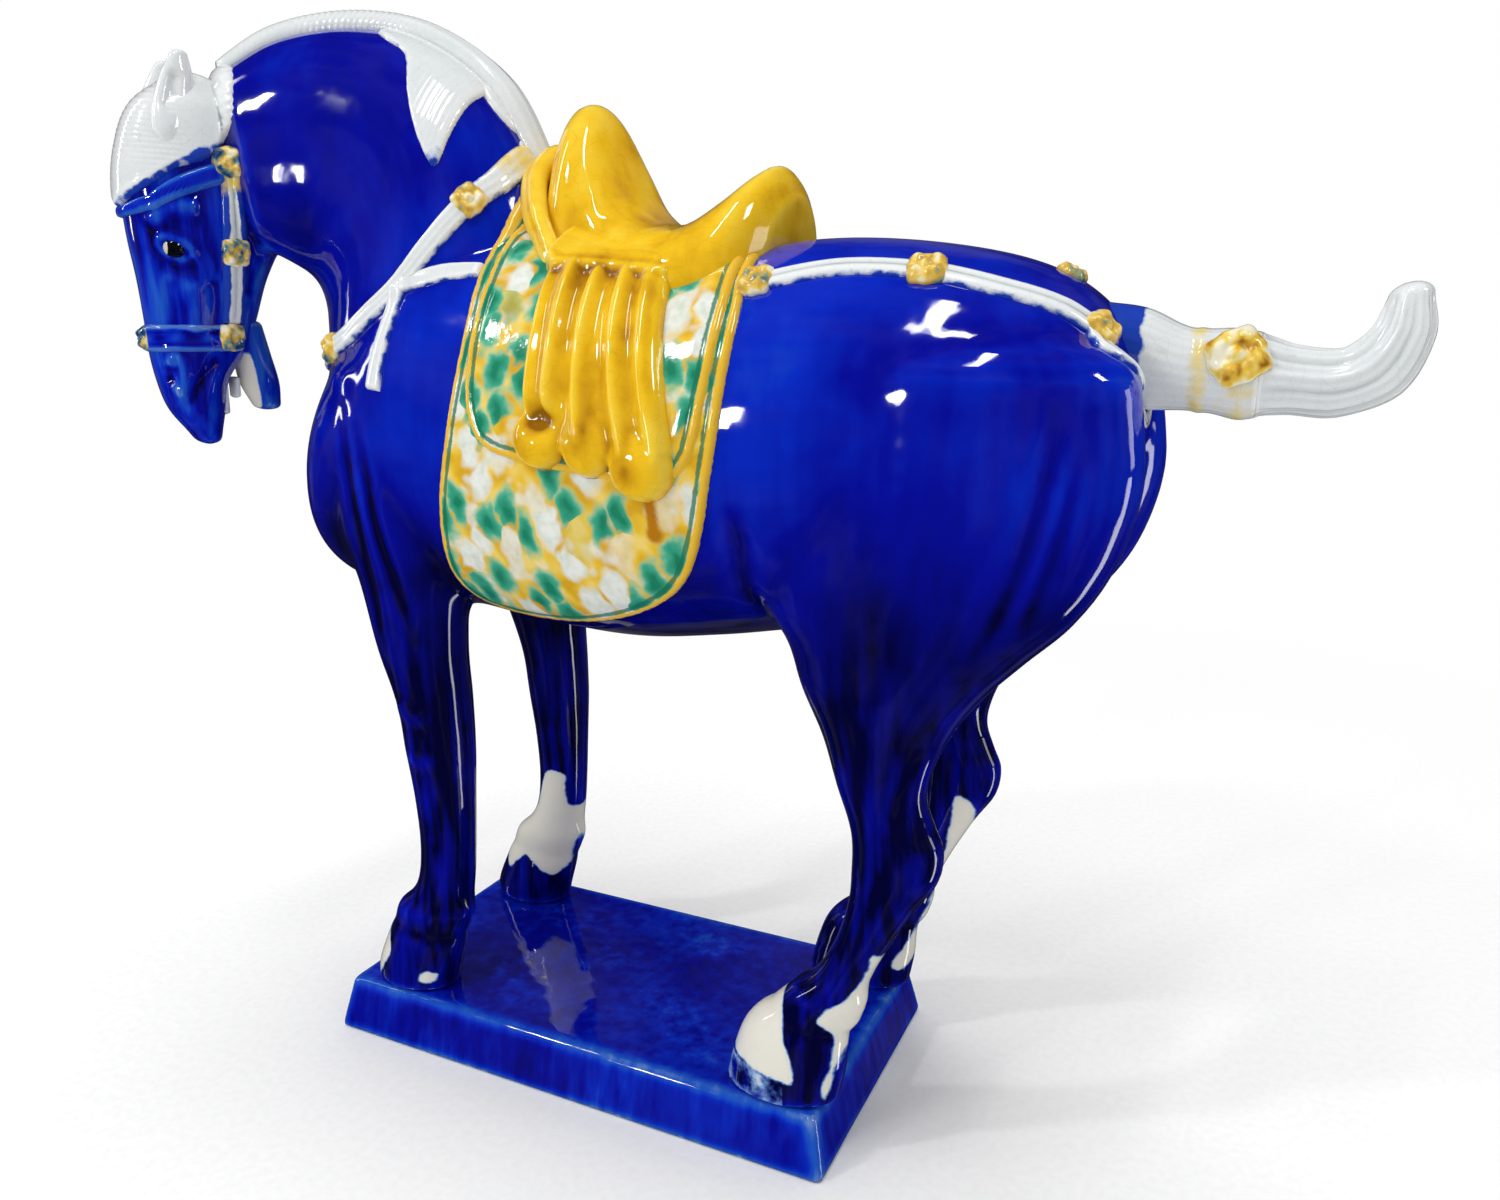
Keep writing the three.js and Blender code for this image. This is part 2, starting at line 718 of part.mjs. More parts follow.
// Harness paths, in X and height above the plinth
const breastPath = [[-33, 401], [-41, 391], [-50, 382], [-64, 363], [-78, 346], [-93, 335],
  [-109, 325], [-124, 319], [-142, 312], [-165, 306]];
const branchPath = [[-74, 345], [-58, 350], [-36, 352]];
const hangPath = [[-77, 346], [-79, 332], [-82, 316], [-84, 301]];
const crupperPath = [[85, 340], [95, 344], [125, 349], [rumpReach - 71, 347], [rumpReach - 41, 340],
  [rumpReach - 23, 333], [rumpReach - 10, 326]];
const underTailPath = [[-30, 331], [-26, 325], [-20, 312], [-12, 297], [0, 290.5], [12, 297],
  [20, 312], [26, 325], [30, 331]];

// Four-lobed plate with a round boss
function medallion({ point, normal }, radius, height, level, turn = 0) {
  const across = Math.abs(normal.z) > 0.9 ? back.clone() : up.clone();
  const sideways = across.clone().cross(normal).normalize();
  const upright = normal.clone().cross(sideways).normalize();
  const rows = [[-2, 1], [level + height * 0.6, 1], [level + height * 0.8, 0.7], [level + height, 0.35]];
  const sides = 12;
  const rings = rows.map(([lift, scale]) => {
    const ring = [];
    for (let i = 0; i < sides; i++) {
      const angle = (2 * Math.PI * i) / sides;
      const lobe = radius * scale * (1 - 0.14 * scale * Math.cos(4 * angle));
      const p = point.clone().addScaledVector(normal, lift);
      p.addScaledVector(sideways, lobe * Math.cos(angle + turn));
      ring.push(p.addScaledVector(upright, lobe * Math.sin(angle + turn)));
    }
    return ring;
  });
  return solidOf(skinOver(rings)).subtract(bodyAt(level));
}

const browPath = [[8, 397], [16, 395], [27, 390], [37, 383.5], [52, 375]];
const nosebandRise = 323.5;
const nosebandTop = nosebandRise + nosebandWidth / 2;
const cheekPath = [[3, 400], [4, 385], [5, 362], [6, 340], [7, nosebandTop + seam]];
const nosebandOutline = [
  [-19, nosebandRise - nosebandWidth / 2],
  [60, nosebandRise - nosebandWidth / 2],
  [60, nosebandTop],
  [-19, nosebandTop],
];
const strapTop = seam + strapThickness + seam;
const bridleTop = seam + bridleThickness + seam;
const breastRoom = bothSides(ribbon(breastPath, breastStrapWidth + 2 * seam));
const blanketRoom = bothSides(spread(smooth(lowerBlanketOutline), seam)).intersect(bodyAt(saddleLevel));
const named = (side) => (side > 0 ? 'left' : 'right');
const bySide = (side, leftBlock, rightBlock) => (side > 0 ? leftBlock : rightBlock);

place('plinth', solidOf(plinthSkin()), cobalt);
place('trunk', trunk, cobalt);
place('neck', parted(aboveWithers, pollSeamNormal, pollSeamLow, false), cobalt);
place('head', headPiece(), cobalt);
place('lower_jaw', jawSolid(), cobalt);
place('upper_teeth', teeth(14, 8, 300, 288, 9), cream);
place('lower_teeth', teeth(6, 2, 304, 296, 7), cream);
place('leg_front_left', leg(foreLeftForm), cobalt);
place('leg_front_right', leg(foreRightForm), cobalt);
place('leg_hind_left', leg(hindLeftForm), cobalt);
place('leg_hind_right', leg(hindRightForm), cobalt);
place('tail_dock', parted(tailSolid, back, knotEnd, false), cream);
place('tail_plume', parted(tailSolid, back, knotEnd, true), cream);
place('mane_crest', maneCrest, cream);

// Forelock and ears
const forelockOutline = [[11, 403.5], [16, 402], [27, 398], [35, 391], [43, 386], [60, 381],
  [60, 470], [-2, 470], [1, 440], [2, 415], [10, 412]];
const forelock = besideMane(layer(seam, forelockThickness, acrossHead(forelockOutline)));
place('forelock', forelock, cream);
const earLevel = seam + forelockThickness + seam;

function earSkin(side) {
  const at = (t) => headPoint(27 - 9 * t, 414 + earLength * t, side * (17 - 3 * t));
  const rows = [[-0.25, 4.5, 6], [0.1, 5, 7], [0.4, 5, 7.6], [0.7, 4, 6], [0.92, 2.6, 3.6]];
  return loft(rows.map(([t, thick, half]) => {
    const centre = at(t);
    return section(
      centre.clone().addScaledVector(headForward, half),
      centre.clone().addScaledVector(headForward, -half),
      headLeft,
      thick,
    );
  }), { steps: 2, sides: 12, endDome: 2.5 });
}

for (const side of [1, -1]) {
  const flank = bySide(side, leftSide, rightSide);
  const cheek = bySide(side, headLeftSide, headRightSide);
  const name = named(side);
  place(`eye_${name}`, ball(eyeRadius, eyeAt(side)), cream);
  place(`ear_${name}`, solidOf(earSkin(side)).subtract(bodyAt(earLevel)), cream);
  place(`mane_lock_${name}`, besideMane(layer(seam, lockThickness, flank(smooth(lockOutline)))), cream);
  const withersHair = besideMane(layer(seam, lockThickness, flank(smooth(withersOutline))));
  place(`mane_withers_${name}`, withersHair.subtract(breastRoom).subtract(blanketRoom), cream);
  const hangRoom = flank(ribbon(hangPath, strapEndWidth + 2 * seam));
  place(
    `strap_branch_${name}`,
    layer(seam, strapThickness, flank(ribbon(branchPath, breastStrapWidth - 1))).subtract(breastRoom)
      .subtract(blanketRoom).subtract(hangRoom),
    cream,
  );
  place(
    `strap_end_${name}`,
    layer(seam, strapThickness, flank(ribbon(hangPath, strapEndWidth))).subtract(breastRoom),
    cream,
  );
  place(`cheek_strap_${name}`, layer(seam, bridleThickness, cheek(ribbon(cheekPath, bridleWidth))), cream);
  place(
    `breast_rosette_${name}`,
    medallion(onFlank(-50, 382, side), medallionRadius, medallionHeight, strapTop, 0.75),
    amber,
  );
  place(
    `breast_medallion_${name}`,
    medallion(onFlank(-124, 319, side), medallionRadius, medallionHeight, strapTop, 0.3),
    amber,
  );
  const crupperPlaces = [
    ['tab', 95, 344],
    ['rosette', rumpReach - 71, 347],
    ['stud', rumpReach - 9, 325],
  ];
  for (const [kind, x, rise] of crupperPlaces) {
    place(
      `crupper_${kind}_${name}`,
      medallion(onFlank(x, rise, side), medallionRadius, medallionHeight, strapTop).subtract(blanketRoom),
      amber,
    );
  }
  const bridlePlaces = [['brow', 4, 402.5], ['cheek', 4.7, 363], ['noseband', 8, 324]];
  for (const [kind, forward, rise] of bridlePlaces) {
    place(
      `${kind}_medallion_${name}`,
      medallion(onCheek(forward, rise, side), bridleMedallionRadius, medallionHeight, bridleTop),
      amber,
    );
  }
}

const lowerBlanket = layer(seam, lowerBlanketThickness, bothSides(smooth(lowerBlanketOutline)));
place('lower_blanket', besideMane(lowerBlanket).subtract(breastRoom), mottled);
const upperBlanketLevel = 2 * seam + lowerBlanketThickness;
const upperBlanket = layer(upperBlanketLevel, upperBlanketThickness, bothSides(smooth(upperBlanketOutline)));
place('upper_blanket', besideMane(upperBlanket).subtract(breastRoom), mottled);
place('saddle_cover', besidePad(saddleCover()), amber);
place('saddle_pad', besideMane(solidOf(padForm).subtract(bodyAt(coverLevel))), amber);
place('saddle', besideMane(besidePad(solidOf(saddleSkin()).subtract(bodyAt(saddleLevel)))), amber);
const breastStrap = layer(seam, strapThickness, bothSides(ribbon(breastPath, breastStrapWidth)));
place('breast_strap', besideMane(breastStrap), cream);
const crupperBlock = bothSides(ribbon(crupperPath, crupperWidth))
  .add(block(ribbon(underTailPath, crupperWidth), rearFrame, rumpReach - 24, rumpReach + 14));
const tailRoom = solidOf(swollen(tailForm, strapTop));
const crupperStrap = layer(seam, strapThickness, crupperBlock);
place('crupper_strap', crupperStrap.subtract(blanketRoom).subtract(tailRoom), cream);
place('browband', layer(seam, bridleThickness, acrossHead(ribbon(browPath, bridleWidth - 1))), cobalt);
place('noseband', layer(seam, bridleThickness, acrossHead(nosebandOutline)), cobalt);
const faceFront = touch(headPoint(80, nosebandRise), headForward.clone().negate());
place('nose_medallion', medallion(faceFront, bridleMedallionRadius, medallionHeight, bridleTop), amber);
const croup = touch(vector(rumpReach - 26, 0.01, 3 * reach), up.clone().negate());
place('croup_medallion', medallion(croup, medallionRadius, medallionHeight, seam), amber);
place('tail_rosette', medallion(onFlank(rumpReach + 35, 319, 1), tailRosetteRadius, medallionHeight, seam), amber);

export default horse;
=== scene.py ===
import math

import bmesh
import bpy
import numpy as np
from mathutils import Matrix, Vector
from mathutils.bvhtree import BVHTree
from mathutils.geometry import delaunay_2d_cdt


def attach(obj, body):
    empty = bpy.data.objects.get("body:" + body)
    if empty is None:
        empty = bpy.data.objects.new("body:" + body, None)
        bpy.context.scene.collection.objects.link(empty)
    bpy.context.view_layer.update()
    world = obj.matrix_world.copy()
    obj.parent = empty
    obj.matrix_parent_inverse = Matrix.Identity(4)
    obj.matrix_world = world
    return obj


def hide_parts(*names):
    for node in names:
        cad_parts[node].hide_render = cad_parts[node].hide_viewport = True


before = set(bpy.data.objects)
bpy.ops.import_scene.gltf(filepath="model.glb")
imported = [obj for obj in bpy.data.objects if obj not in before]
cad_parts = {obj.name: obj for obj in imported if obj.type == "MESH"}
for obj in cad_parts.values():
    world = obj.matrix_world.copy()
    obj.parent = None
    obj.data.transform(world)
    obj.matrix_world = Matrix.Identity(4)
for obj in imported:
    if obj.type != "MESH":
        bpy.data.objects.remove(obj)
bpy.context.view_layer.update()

# The horse is modelled in millimetres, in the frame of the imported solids: it faces -X and its left side is -Y
MM = 0.001
DECK = 26.5
LEFT, RIGHT = 1, -1
VOXEL = 1.25

# Head, measured from its poll
HEAD_TURN = math.radians(65)
POLL = np.array([-195.0, -42.0, DECK])
HEAD_FORWARD = np.array([-math.cos(HEAD_TURN), -math.sin(HEAD_TURN), 0.0])
HEAD_LEFT = np.array([math.sin(HEAD_TURN), -math.cos(HEAD_TURN), 0.0])
UP = np.array([0.0, 0.0, 1.0])


def head_point(forward, rise, sideways=0.0):
    return POLL + HEAD_FORWARD * forward + HEAD_LEFT * sideways + UP * rise


def unit(vectors):
    return vectors / np.maximum(np.linalg.norm(vectors, axis=-1, keepdims=True), 1e-9)


def spline(knots, samples, closed=False):
    """Smooth curve through rows of numbers"""
    knots = np.asarray(knots, float)
    if closed:
        padded = np.vstack([knots[-1], knots, knots[0], knots[1]])
        place = np.linspace(0, len(knots), samples, endpoint=False)
        span = place.astype(int)
    else:
        padded = np.vstack([2 * knots[0] - knots[1], knots, 2 * knots[-1] - knots[-2]])
        place = np.linspace(0, len(knots) - 1, samples)
        span = np.minimum(place.astype(int), len(knots) - 2)
    t = (place - span)[:, None]
    a, b, c, d = (padded[span + k] for k in range(4))
    return 0.5 * (2 * b + (c - a) * t + (2 * a - 5 * b + 4 * c - d) * t**2 + (3 * b - a - 3 * c + d) * t**3)


def dense(path, apart):
    """The same path, smooth and with a point every so many millimetres"""
    path = np.asarray(path, float)
    length = np.linalg.norm(np.diff(path, axis=0), axis=1).sum()
    return spline(path, max(len(path), int(length / apart) + 1))


def smooth_step(values, low, high):
    t = np.clip((values - low) / (high - low), 0, 1)
    return t * t * (3 - 2 * t)


# Lofts: each section has a centre, the vectors to its near and far ends, its half width and its squareness
def section(near, far, lateral, half, power=2.0, belly=0.5):
    near, far = np.asarray(near, float), np.asarray(far, float)
    centre = near + (far - near) * belly
    side = unit(np.asarray(lateral, float)) * half
    return np.concatenate([centre, near - centre, far - centre, side, [power]])


def rings_of(sections, steps, sides, start_dome=0.0, end_dome=0.0):
    rows = spline(sections, (len(sections) - 1) * steps + 1)
    angle = 2 * np.pi * np.arange(sides) / sides
    c, s = np.cos(angle)[None, :, None], np.sin(angle)[None, :, None]
    centre, near, far, side = (rows[:, None, k:k + 3] for k in (0, 3, 6, 9))
    power = rows[:, None, 12:13]
    along = np.abs(c) ** (2 / power)
    across = np.sign(s) * np.abs(s) ** (2 / power)
    spokes = np.where(c >= 0, near, far) * along + side * across
    rings = list(centre + spokes)

    def dome(index, direction, height):
        away = unit(direction) * height
        return [
            centre[index, 0] + away * math.sin(turn) + spokes[index] * math.cos(turn)
            for turn in np.linspace(0.2, 1.45, 7)
        ]

    if start_dome:
        rings = dome(0, centre[0, 0] - centre[1, 0], start_dome)[::-1] + rings
    if end_dome:
        rings += dome(-1, centre[-1, 0] - centre[-2, 0], end_dome)
    return np.array(rings)


def skin_of(rings):
    """Points and faces of a closed skin over rings of points"""
    count, sides = rings.shape[:2]
    points = np.vstack([rings.reshape(-1, 3), rings[0].mean(0), rings[-1].mean(0)])
    faces = []
    for r in range(count - 1):
        for i in range(sides):
            j = (i + 1) % sides
            faces.append((r * sides + i, r * sides + j, (r + 1) * sides + j, (r + 1) * sides + i))
    last = (count - 1) * sides
    for i in range(sides):
        j = (i + 1) % sides
        faces.append((count * sides, j, i))
        faces.append((count * sides + 1, last + i, last + j))
    return points, faces


def loft(sections, steps=8, sides=48, start_dome=0.0, end_dome=0.0):
    return skin_of(rings_of(sections, steps, sides, start_dome, end_dome))


def joined(forms):
    points, faces = [], []
    shift = 0
    for some_points, some_faces in forms:
        points.append(some_points)
        faces += [tuple(i + shift for i in face) for face in some_faces]
        shift += len(some_points)
    return np.vstack(points), faces


# Meshes: positions in millimetres go in, an object in metres comes out
def mesh_of(name, points, faces, uv=None, attributes=None):
    mesh = bpy.data.meshes.new(name)
    mesh.from_pydata((np.asarray(points) * MM).tolist(), [], [tuple(map(int, f)) for f in faces])
    if uv is not None:
        corners = np.empty(len(mesh.loops), int)
        mesh.loops.foreach_get("vertex_index", corners)
        layer = mesh.uv_layers.new(name="surface")
        layer.uv.foreach_set("vector", (np.asarray(uv)[corners] * MM).astype(np.float32).ravel())
    for key, values in (attributes or {}).items():
        layer = mesh.attributes.new(key, "FLOAT", "POINT")
        layer.data.foreach_set("value", np.asarray(values, np.float32))
    work = bmesh.new()
    work.from_mesh(mesh)
    bmesh.ops.recalc_face_normals(work, faces=work.faces)
    work.to_mesh(mesh)
    work.free()
    mesh.shade_smooth()
    return mesh


def piece(mesh, nodes, slot, *materials):
    thing = bpy.data.objects.new("glazed_" + nodes[0], mesh)
    bpy.context.scene.collection.objects.link(thing)
    for material in materials:
        mesh.materials.append(material)
    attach(thing, "root")
    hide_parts(*nodes)
    return thing


def remeshed(points, faces, voxel):
    """The outer skin of overlapping closed forms, as one even net of quads"""
    mesh = bpy.data.meshes.new("casting")
    mesh.from_pydata((points * MM).tolist(), [], faces)
    thing = bpy.data.objects.new("casting", mesh)
    bpy.context.scene.collection.objects.link(thing)
    remesh = thing.modifiers.new("net", "REMESH")
    remesh.mode = "VOXEL"
    remesh.voxel_size = voxel * MM
    shown = thing.evaluated_get(bpy.context.evaluated_depsgraph_get())
    net = bpy.data.meshes.new_from_object(shown)
    bpy.data.objects.remove(thing)
    bpy.data.meshes.remove(mesh)
    return net


class Skin:
    """A dense net of points that can be relaxed, carved and touched"""

    def __init__(self, mesh):
        self.mesh = mesh
        count = len(mesh.vertices)
        flat = np.empty(count * 3, np.float32)
        mesh.vertices.foreach_get("co", flat)
        self.points = flat.reshape(-1, 3).astype(float) / MM
        edges = np.empty(len(mesh.edges) * 2, np.int32)
        mesh.edges.foreach_get("vertices", edges)
        self.edges = edges.reshape(-1, 2)
        self.degree = np.bincount(edges, minlength=count)[:, None].astype(float)
        self.faces = [tuple(face.vertices) for face in mesh.polygons]
        self.settle()

    def settle(self):
        """Writes the points back and refreshes normals"""
        self.mesh.vertices.foreach_set("co", (self.points * MM).astype(np.float32).ravel())
        self.mesh.update()
        flat = np.empty(len(self.points) * 3, np.float32)
        self.mesh.vertex_normals.foreach_get("vector", flat)
        self.normals = flat.reshape(-1, 3).astype(float)

    def average(self, values):
        one, two = self.edges.T
        total = np.empty_like(values)
        for k in range(values.shape[1]):
            total[:, k] = np.bincount(one, values[two, k], len(values))
            total[:, k] += np.bincount(two, values[one, k], len(values))
        return total / self.degree

    def relax(self, rounds, amount=0.5):
        for _ in range(rounds):
            self.points += (self.average(self.points) - self.points) * amount
        self.settle()

    def fill_hollows(self, rounds):
        """Rounds the corners where forms meet, as slip and glaze do, without thinning the forms"""
        for step in range(rounds):
            if step % 8 == 0:
                self.settle()
            pull = self.average(self.points) - self.points
            outward = np.einsum("ij,ij->i", pull, self.normals)
            self.points += self.normals * np.maximum(outward, 0)[:, None] * 0.7
        self.settle()

    def hollowness(self, rounds):
        """Positive in grooves, negative along edges"""
        pull = self.average(self.points) - self.points
        value = np.einsum("ij,ij->i", pull, self.normals)[:, None]
        for _ in range(rounds):
            value = self.average(value)
        return value[:, 0]

    def carve(self, path, width, height, fade=0.2):
        """Raises a soft ridge along a path, or sinks a groove where the height is below zero"""
        path = np.asarray(path, float)
        near = np.all((self.points > path.min(0) - 3.2 * width) & (self.points < path.max(0) + 3.2 * width), axis=1)
        near = np.flatnonzero(near)
        spots = self.points[near]
        best = np.full(len(near), np.inf)
        place = np.zeros(len(near))
        for i, (a, b) in enumerate(zip(path[:-1], path[1:])):
            run = b - a
            t = np.clip(((spots - a) @ run) / max(run @ run, 1e-9), 0, 1)
            gap = np.linalg.norm(spots - a - t[:, None] * run, axis=1)
            closer = gap < best
            best[closer] = gap[closer]
            place[closer] = (i + t[closer]) / (len(path) - 1)
        ends = 1.0
        if fade:
            ends = smooth_step(place, 0, fade) * smooth_step(1 - place, 0, fade) + 0.15
        lift = height * np.exp(-0.5 * (best / width) ** 2) * np.minimum(ends, 1)
        self.points[near] += self.normals[near] * lift[:, None]

    def tree(self):
        self.touching = BVHTree.FromPolygons(self.points.tolist(), self.faces)

    def snap(self, point):
        """Nearest place on the skin and its smooth normal"""
        place, _, face, _ = self.touching.find_nearest(Vector(point))
        return np.array(place), unit(self.normals[list(self.faces[face])].mean(0))

    def strike(self, origin, direction):
        """Where a line from outside meets the skin, and the smooth normal there"""
        place, _, face, _ = self.touching.ray_cast(Vector(origin), Vector(direction))
        if place is None:
            return self.snap(np.asarray(origin) + np.asarray(direction) * 150)
        return np.array(place), unit(self.normals[list(self.faces[face])].mean(0))

    def flank(self, path, side=LEFT, apart=3.0):
        """Places on one side of the horse, from their X and height above the plinth"""
        path = dense(path, apart)
        return np.array([self.strike((x, -160 * side, DECK + rise), (0, side, 0))[0] for x, rise in path])

    def cheek(self, path, side=LEFT, apart=2.0):
        """Places on one side of the head, from their distance forward and height"""
        path = dense(path, apart)
        return np.array([
            self.strike(head_point(forward, rise, 60 * side), -HEAD_LEFT * side)[0] for forward, rise in path
        ])

    def girdle(self, x, rise, side, slope=0.0, out=50.0):
        """Places all round a leg at a height, tilted by slope"""
        spots = []
        for angle in np.linspace(0, 2 * math.pi, 41):
            away = np.array([math.cos(angle), math.sin(angle), slope * math.cos(angle)])
            middle = np.array([x, -out * side, DECK + rise])
            flat = np.array([-away[0], -away[1], 0])
            spots.append(self.strike(middle + away * 40 * (1, 1, 0.4), flat)[0])
        return np.array(spots)


# Trunk: each row is X, top, bottom and half width, in heights above the plinth
TRUNK = [
    (-165, 275, 222, 24), (-157, 294, 209, 41), (-139, 319, 200, 57), (-111, 352, 195, 66), (-77, 375, 194, 71),
    (-30, 370, 189, 74), (20, 358, 187, 75), (62, 358, 192, 74), (100, 363, 199, 73), (138, 362, 205, 71),
    (177, 356, 213, 67), (203, 347, 229, 58), (220, 334, 253, 43), (229, 319, 279, 24),
]
# Neck: crest and throat in X, Y and height, the turn to the left, and half width
NECK = [
    ((-22, 0, 366), (-142, 0, 240), 0, 58), ((-36, 0, 398), (-151, -2, 290), 0, 55),
    ((-60, 0, 434), (-149, -9, 321), 5, 47), ((-98, -3, 458), (-150, -18, 340), 15, 40),
    ((-138, -10, 466), (-153, -28, 352), 28, 35), ((-172, -24, 461), (-161, -37, 360), 42, 31),
    ((-193, -40, 446), (-172, -45, 367), 55, 26),
]
# Head: height, front, rear and half width, measured from the poll
HEAD = [
    (437, 22, 2, 12), (426, 35, -14, 20), (409, 42, -24, 25), (391, 45, -27, 28), (371, 44.5, -24, 28),
    (351, 42.5, -15, 24), (333, 41.5, -9, 20), (318, 41, -3, 19), (304, 39, 7, 18.5), (290, 35, 10, 17),
    (277, 26, 13, 13),
]
JAW = [(330, 4, -11, 12), (316, 3, -14, 12.5), (302, 1, -17, 12), (291, -4, -17, 9.5)]
# Legs: height, front, rear, distance from the middle and half width; front and rear count from the stance
FORE_STANCE, HIND_STANCE = -75, 143
FORE_LEG = [
    (300, -58, 18, 36, 30), (244, -54, 22, 41, 30), (210, -39, 16, 47, 23), (180, -29, 15, 50, 20),
    (154, -20, 16, 50, 18), (129, -17, 16.5, 50, 16.5), (104, -14, 15.5, 50, 14.5), (78, -13, 14, 50, 13.5),
    (58, -17, 12, 50, 14), (41, -31, 9, 50, 15), (23, -40, 5, 50, 16), (9, -46, 1, 50, 16.5), (0.3, -47, -1, 50, 16.5),
]
HIND_LEG = [
    (304, -40, 93, 36, 33), (272, -44, 96, 38, 34), (243, -51, 89, 40, 33), (221, -48, 76, 42, 30),
    (204, -36, 59, 44, 27), (187, -29, 43, 46, 24), (168, -19, 31, 48, 19), (148, -12, 25, 50, 14.5),
    (134, -7, 29, 50, 13.5), (124, -5, 33, 50, 13.5), (111, -5, 31, 50, 13), (97, -6, 22, 50, 12),
    (79, -11, 12, 50, 12), (62, -20, 4, 50, 13), (49, -34, -1, 50, 14), (33, -51, -5, 50, 15.5),
    (17, -58, -6, 50, 16.5), (0.3, -62, -9, 50, 17),
]
RIGHTWARD = (0, -1, 0)


def leftward(degrees):
    turn = math.radians(degrees)
    return (math.sin(turn), -math.cos(turn), 0)


def trunk_form():
    rows = [
        section((x, 0, DECK + top), (x, 0, DECK + bottom), RIGHTWARD, half, 2.15, 0.53)
        for x, top, bottom, half in TRUNK
    ]
    return loft(rows, 8, 80, 5, 5)


def neck_form():
    raised = np.array([0, 0, DECK])
    rows = [
        section(np.add(crest, raised), np.add(throat, raised), leftward(turn), half, 2.1, 0.52)
        for crest, throat, turn, half in NECK
    ]
    return loft(rows, 10, 64, 0, 5)


def level_form(levels, start_dome, end_dome, sides=56):
    rows = [
        section(head_point(front, rise), head_point(rear, rise), HEAD_LEFT, half, 2.1)
        for rise, front, rear, half in levels
    ]
    return loft(rows, 8, sides, start_dome, end_dome)


def leg_form(levels, stance, side):
    rows = [
        section(
            (stance + front, -side * out, DECK + rise),
            (stance + rear, -side * out, DECK + rise),
            RIGHTWARD,
            half,
        )
        for rise, front, rear, out, half in levels
    ]
    return loft(rows, 8, 44, 26)


legs = [
    leg_form(levels, stance, side)
    for levels, stance in ((FORE_LEG, FORE_STANCE), (HIND_LEG, HIND_STANCE))
    for side in (LEFT, RIGHT)
]
body = Skin(remeshed(*joined([trunk_form(), neck_form(), level_form(HEAD, 4, 5), *legs]), VOXEL))
body.relax(3)
body.fill_hollows(70)
body.relax(4)
body.tree()

# Muscle lines, folds of skin and joints, carved on both sides
for side in (LEFT, RIGHT):
    strokes = [
        (body.flank([(215, 304), (211, 278), (205, 252), (196, 226), (184, 202)], side), 3.8, -1.7, 0.35),
        (body.flank([(222, 298), (217, 264), (209, 234), (199, 212)], side), 3.0, -0.9, 0.35),
        (body.flank([(92, 266), (95, 244), (94, 224), (101, 206)], side), 4.0, -1.6, 0.35),
        (body.flank([(-107, 292), (-104, 264), (-98, 236), (-93, 204), (-87, 170)], side), 3.0, -1.8, 0.3),
        (body.flank([(-95, 284), (-89, 248), (-80, 216), (-72, 188)], side), 2.6, -1.3, 0.3),
        (body.flank([(-86, 158), (-79, 150), (-66, 149)], side), 3.6, 1.3, 0.35),
        (body.flank([(-84, 132), (-76, 127), (-65, 130)], side), 3.4, 1.0, 0.35),
        (body.flank([(172, 178), (165, 160), (161, 144), (164, 128)], side), 3.2, -1.3, 0.35),
        (body.flank([(158, 122), (152, 106), (146, 88), (142, 66)], side), 3.0, -0.9, 0.4),
        (body.flank([(-70, 116), (-70, 92), (-72, 66)], side), 2.6, -0.8, 0.4),
        (body.girdle(-86, 44, side), 4.2, 1.0, 0),
        (body.girdle(-89, 33, side, -0.1), 3.0, -0.6, 0),
        (body.girdle(126, 51, side, -0.15), 4.2, 0.9, 0),
        (body.girdle(118, 39, side, -0.2), 3.0, -0.6, 0),
        (np.array([(139, -50 * side, DECK + 52), (137, -50 * side, DECK + 43)]), 5.0, 3.4, 0),
        (np.array([(-62, -50 * side, DECK + 44), (-64, -50 * side, DECK + 34)]), 4.5, 2.4, 0),
    ]
    for path, width, height, fade in strokes:
        body.carve(path, width, height, fade)
for side in (LEFT, RIGHT):
    eye_ring = [
        head_point(30 + 8.2 * math.cos(a), 364 + 4.8 * math.sin(a) + 1.6 * math.cos(a), 21 * side)
        for a in np.linspace(0, 2 * math.pi, 15)
    ]
    eye_ring = np.array([body.snap(p)[0] for p in eye_ring])
    socket = body.cheek([(20, 356), (30, 355), (38, 358)], side)
    nostril = np.array([
        body.snap(head_point(35 + 4.2 * math.cos(a), 306 + 9 * math.sin(a), 17 * side))[0]
        for a in np.linspace(0, 2 * math.pi, 15)
    ])
    nostril_hole = body.cheek([(35, 311), (35, 306), (35.5, 302)], side)
    head_strokes = [
        (body.cheek([(40, 374), (34, 379), (26, 382), (18, 381)], side), 3.2, 2.4, 0.2),
        (socket, 4.0, -2.2, 0.2),
        (eye_ring, 1.4, 1.6, 0),
        (body.cheek([(24, 352), (23, 338), (25, 325)], side), 2.4, 1.5, 0.2),
        (body.cheek([(15, 352), (14, 338), (17, 322)], side), 2.2, -1.4, 0.2),
        (body.cheek([(33, 352), (32, 338), (33, 326)], side), 2.0, -1.2, 0.2),
        (nostril, 1.9, 1.8, 0),
        (nostril_hole, 2.2, -3.4, 0.1),
        (body.cheek([(14, 316), (20, 308), (26, 300), (31, 290)], side), 2.2, -1.3, 0.2),
        (body.cheek([(-5, 372), (-4, 356), (-2, 341)], side), 2.6, -1.6, 0.2),
    ]
    for path, width, height, fade in head_strokes:
        body.carve(path, width, height, fade)
body.relax(1)
body.tree()


def wobble(points, size, seed):
    """Gentle unevenness of a hand-finished casting, from a few crossed waves"""
    draw = np.random.default_rng(seed)
    total = np.zeros(len(points))
    for _ in range(7):
        wave = draw.normal(size=3) / size * 2.2
        total += np.sin(points @ wave + draw.uniform(0, 6.28))
    return total / 7


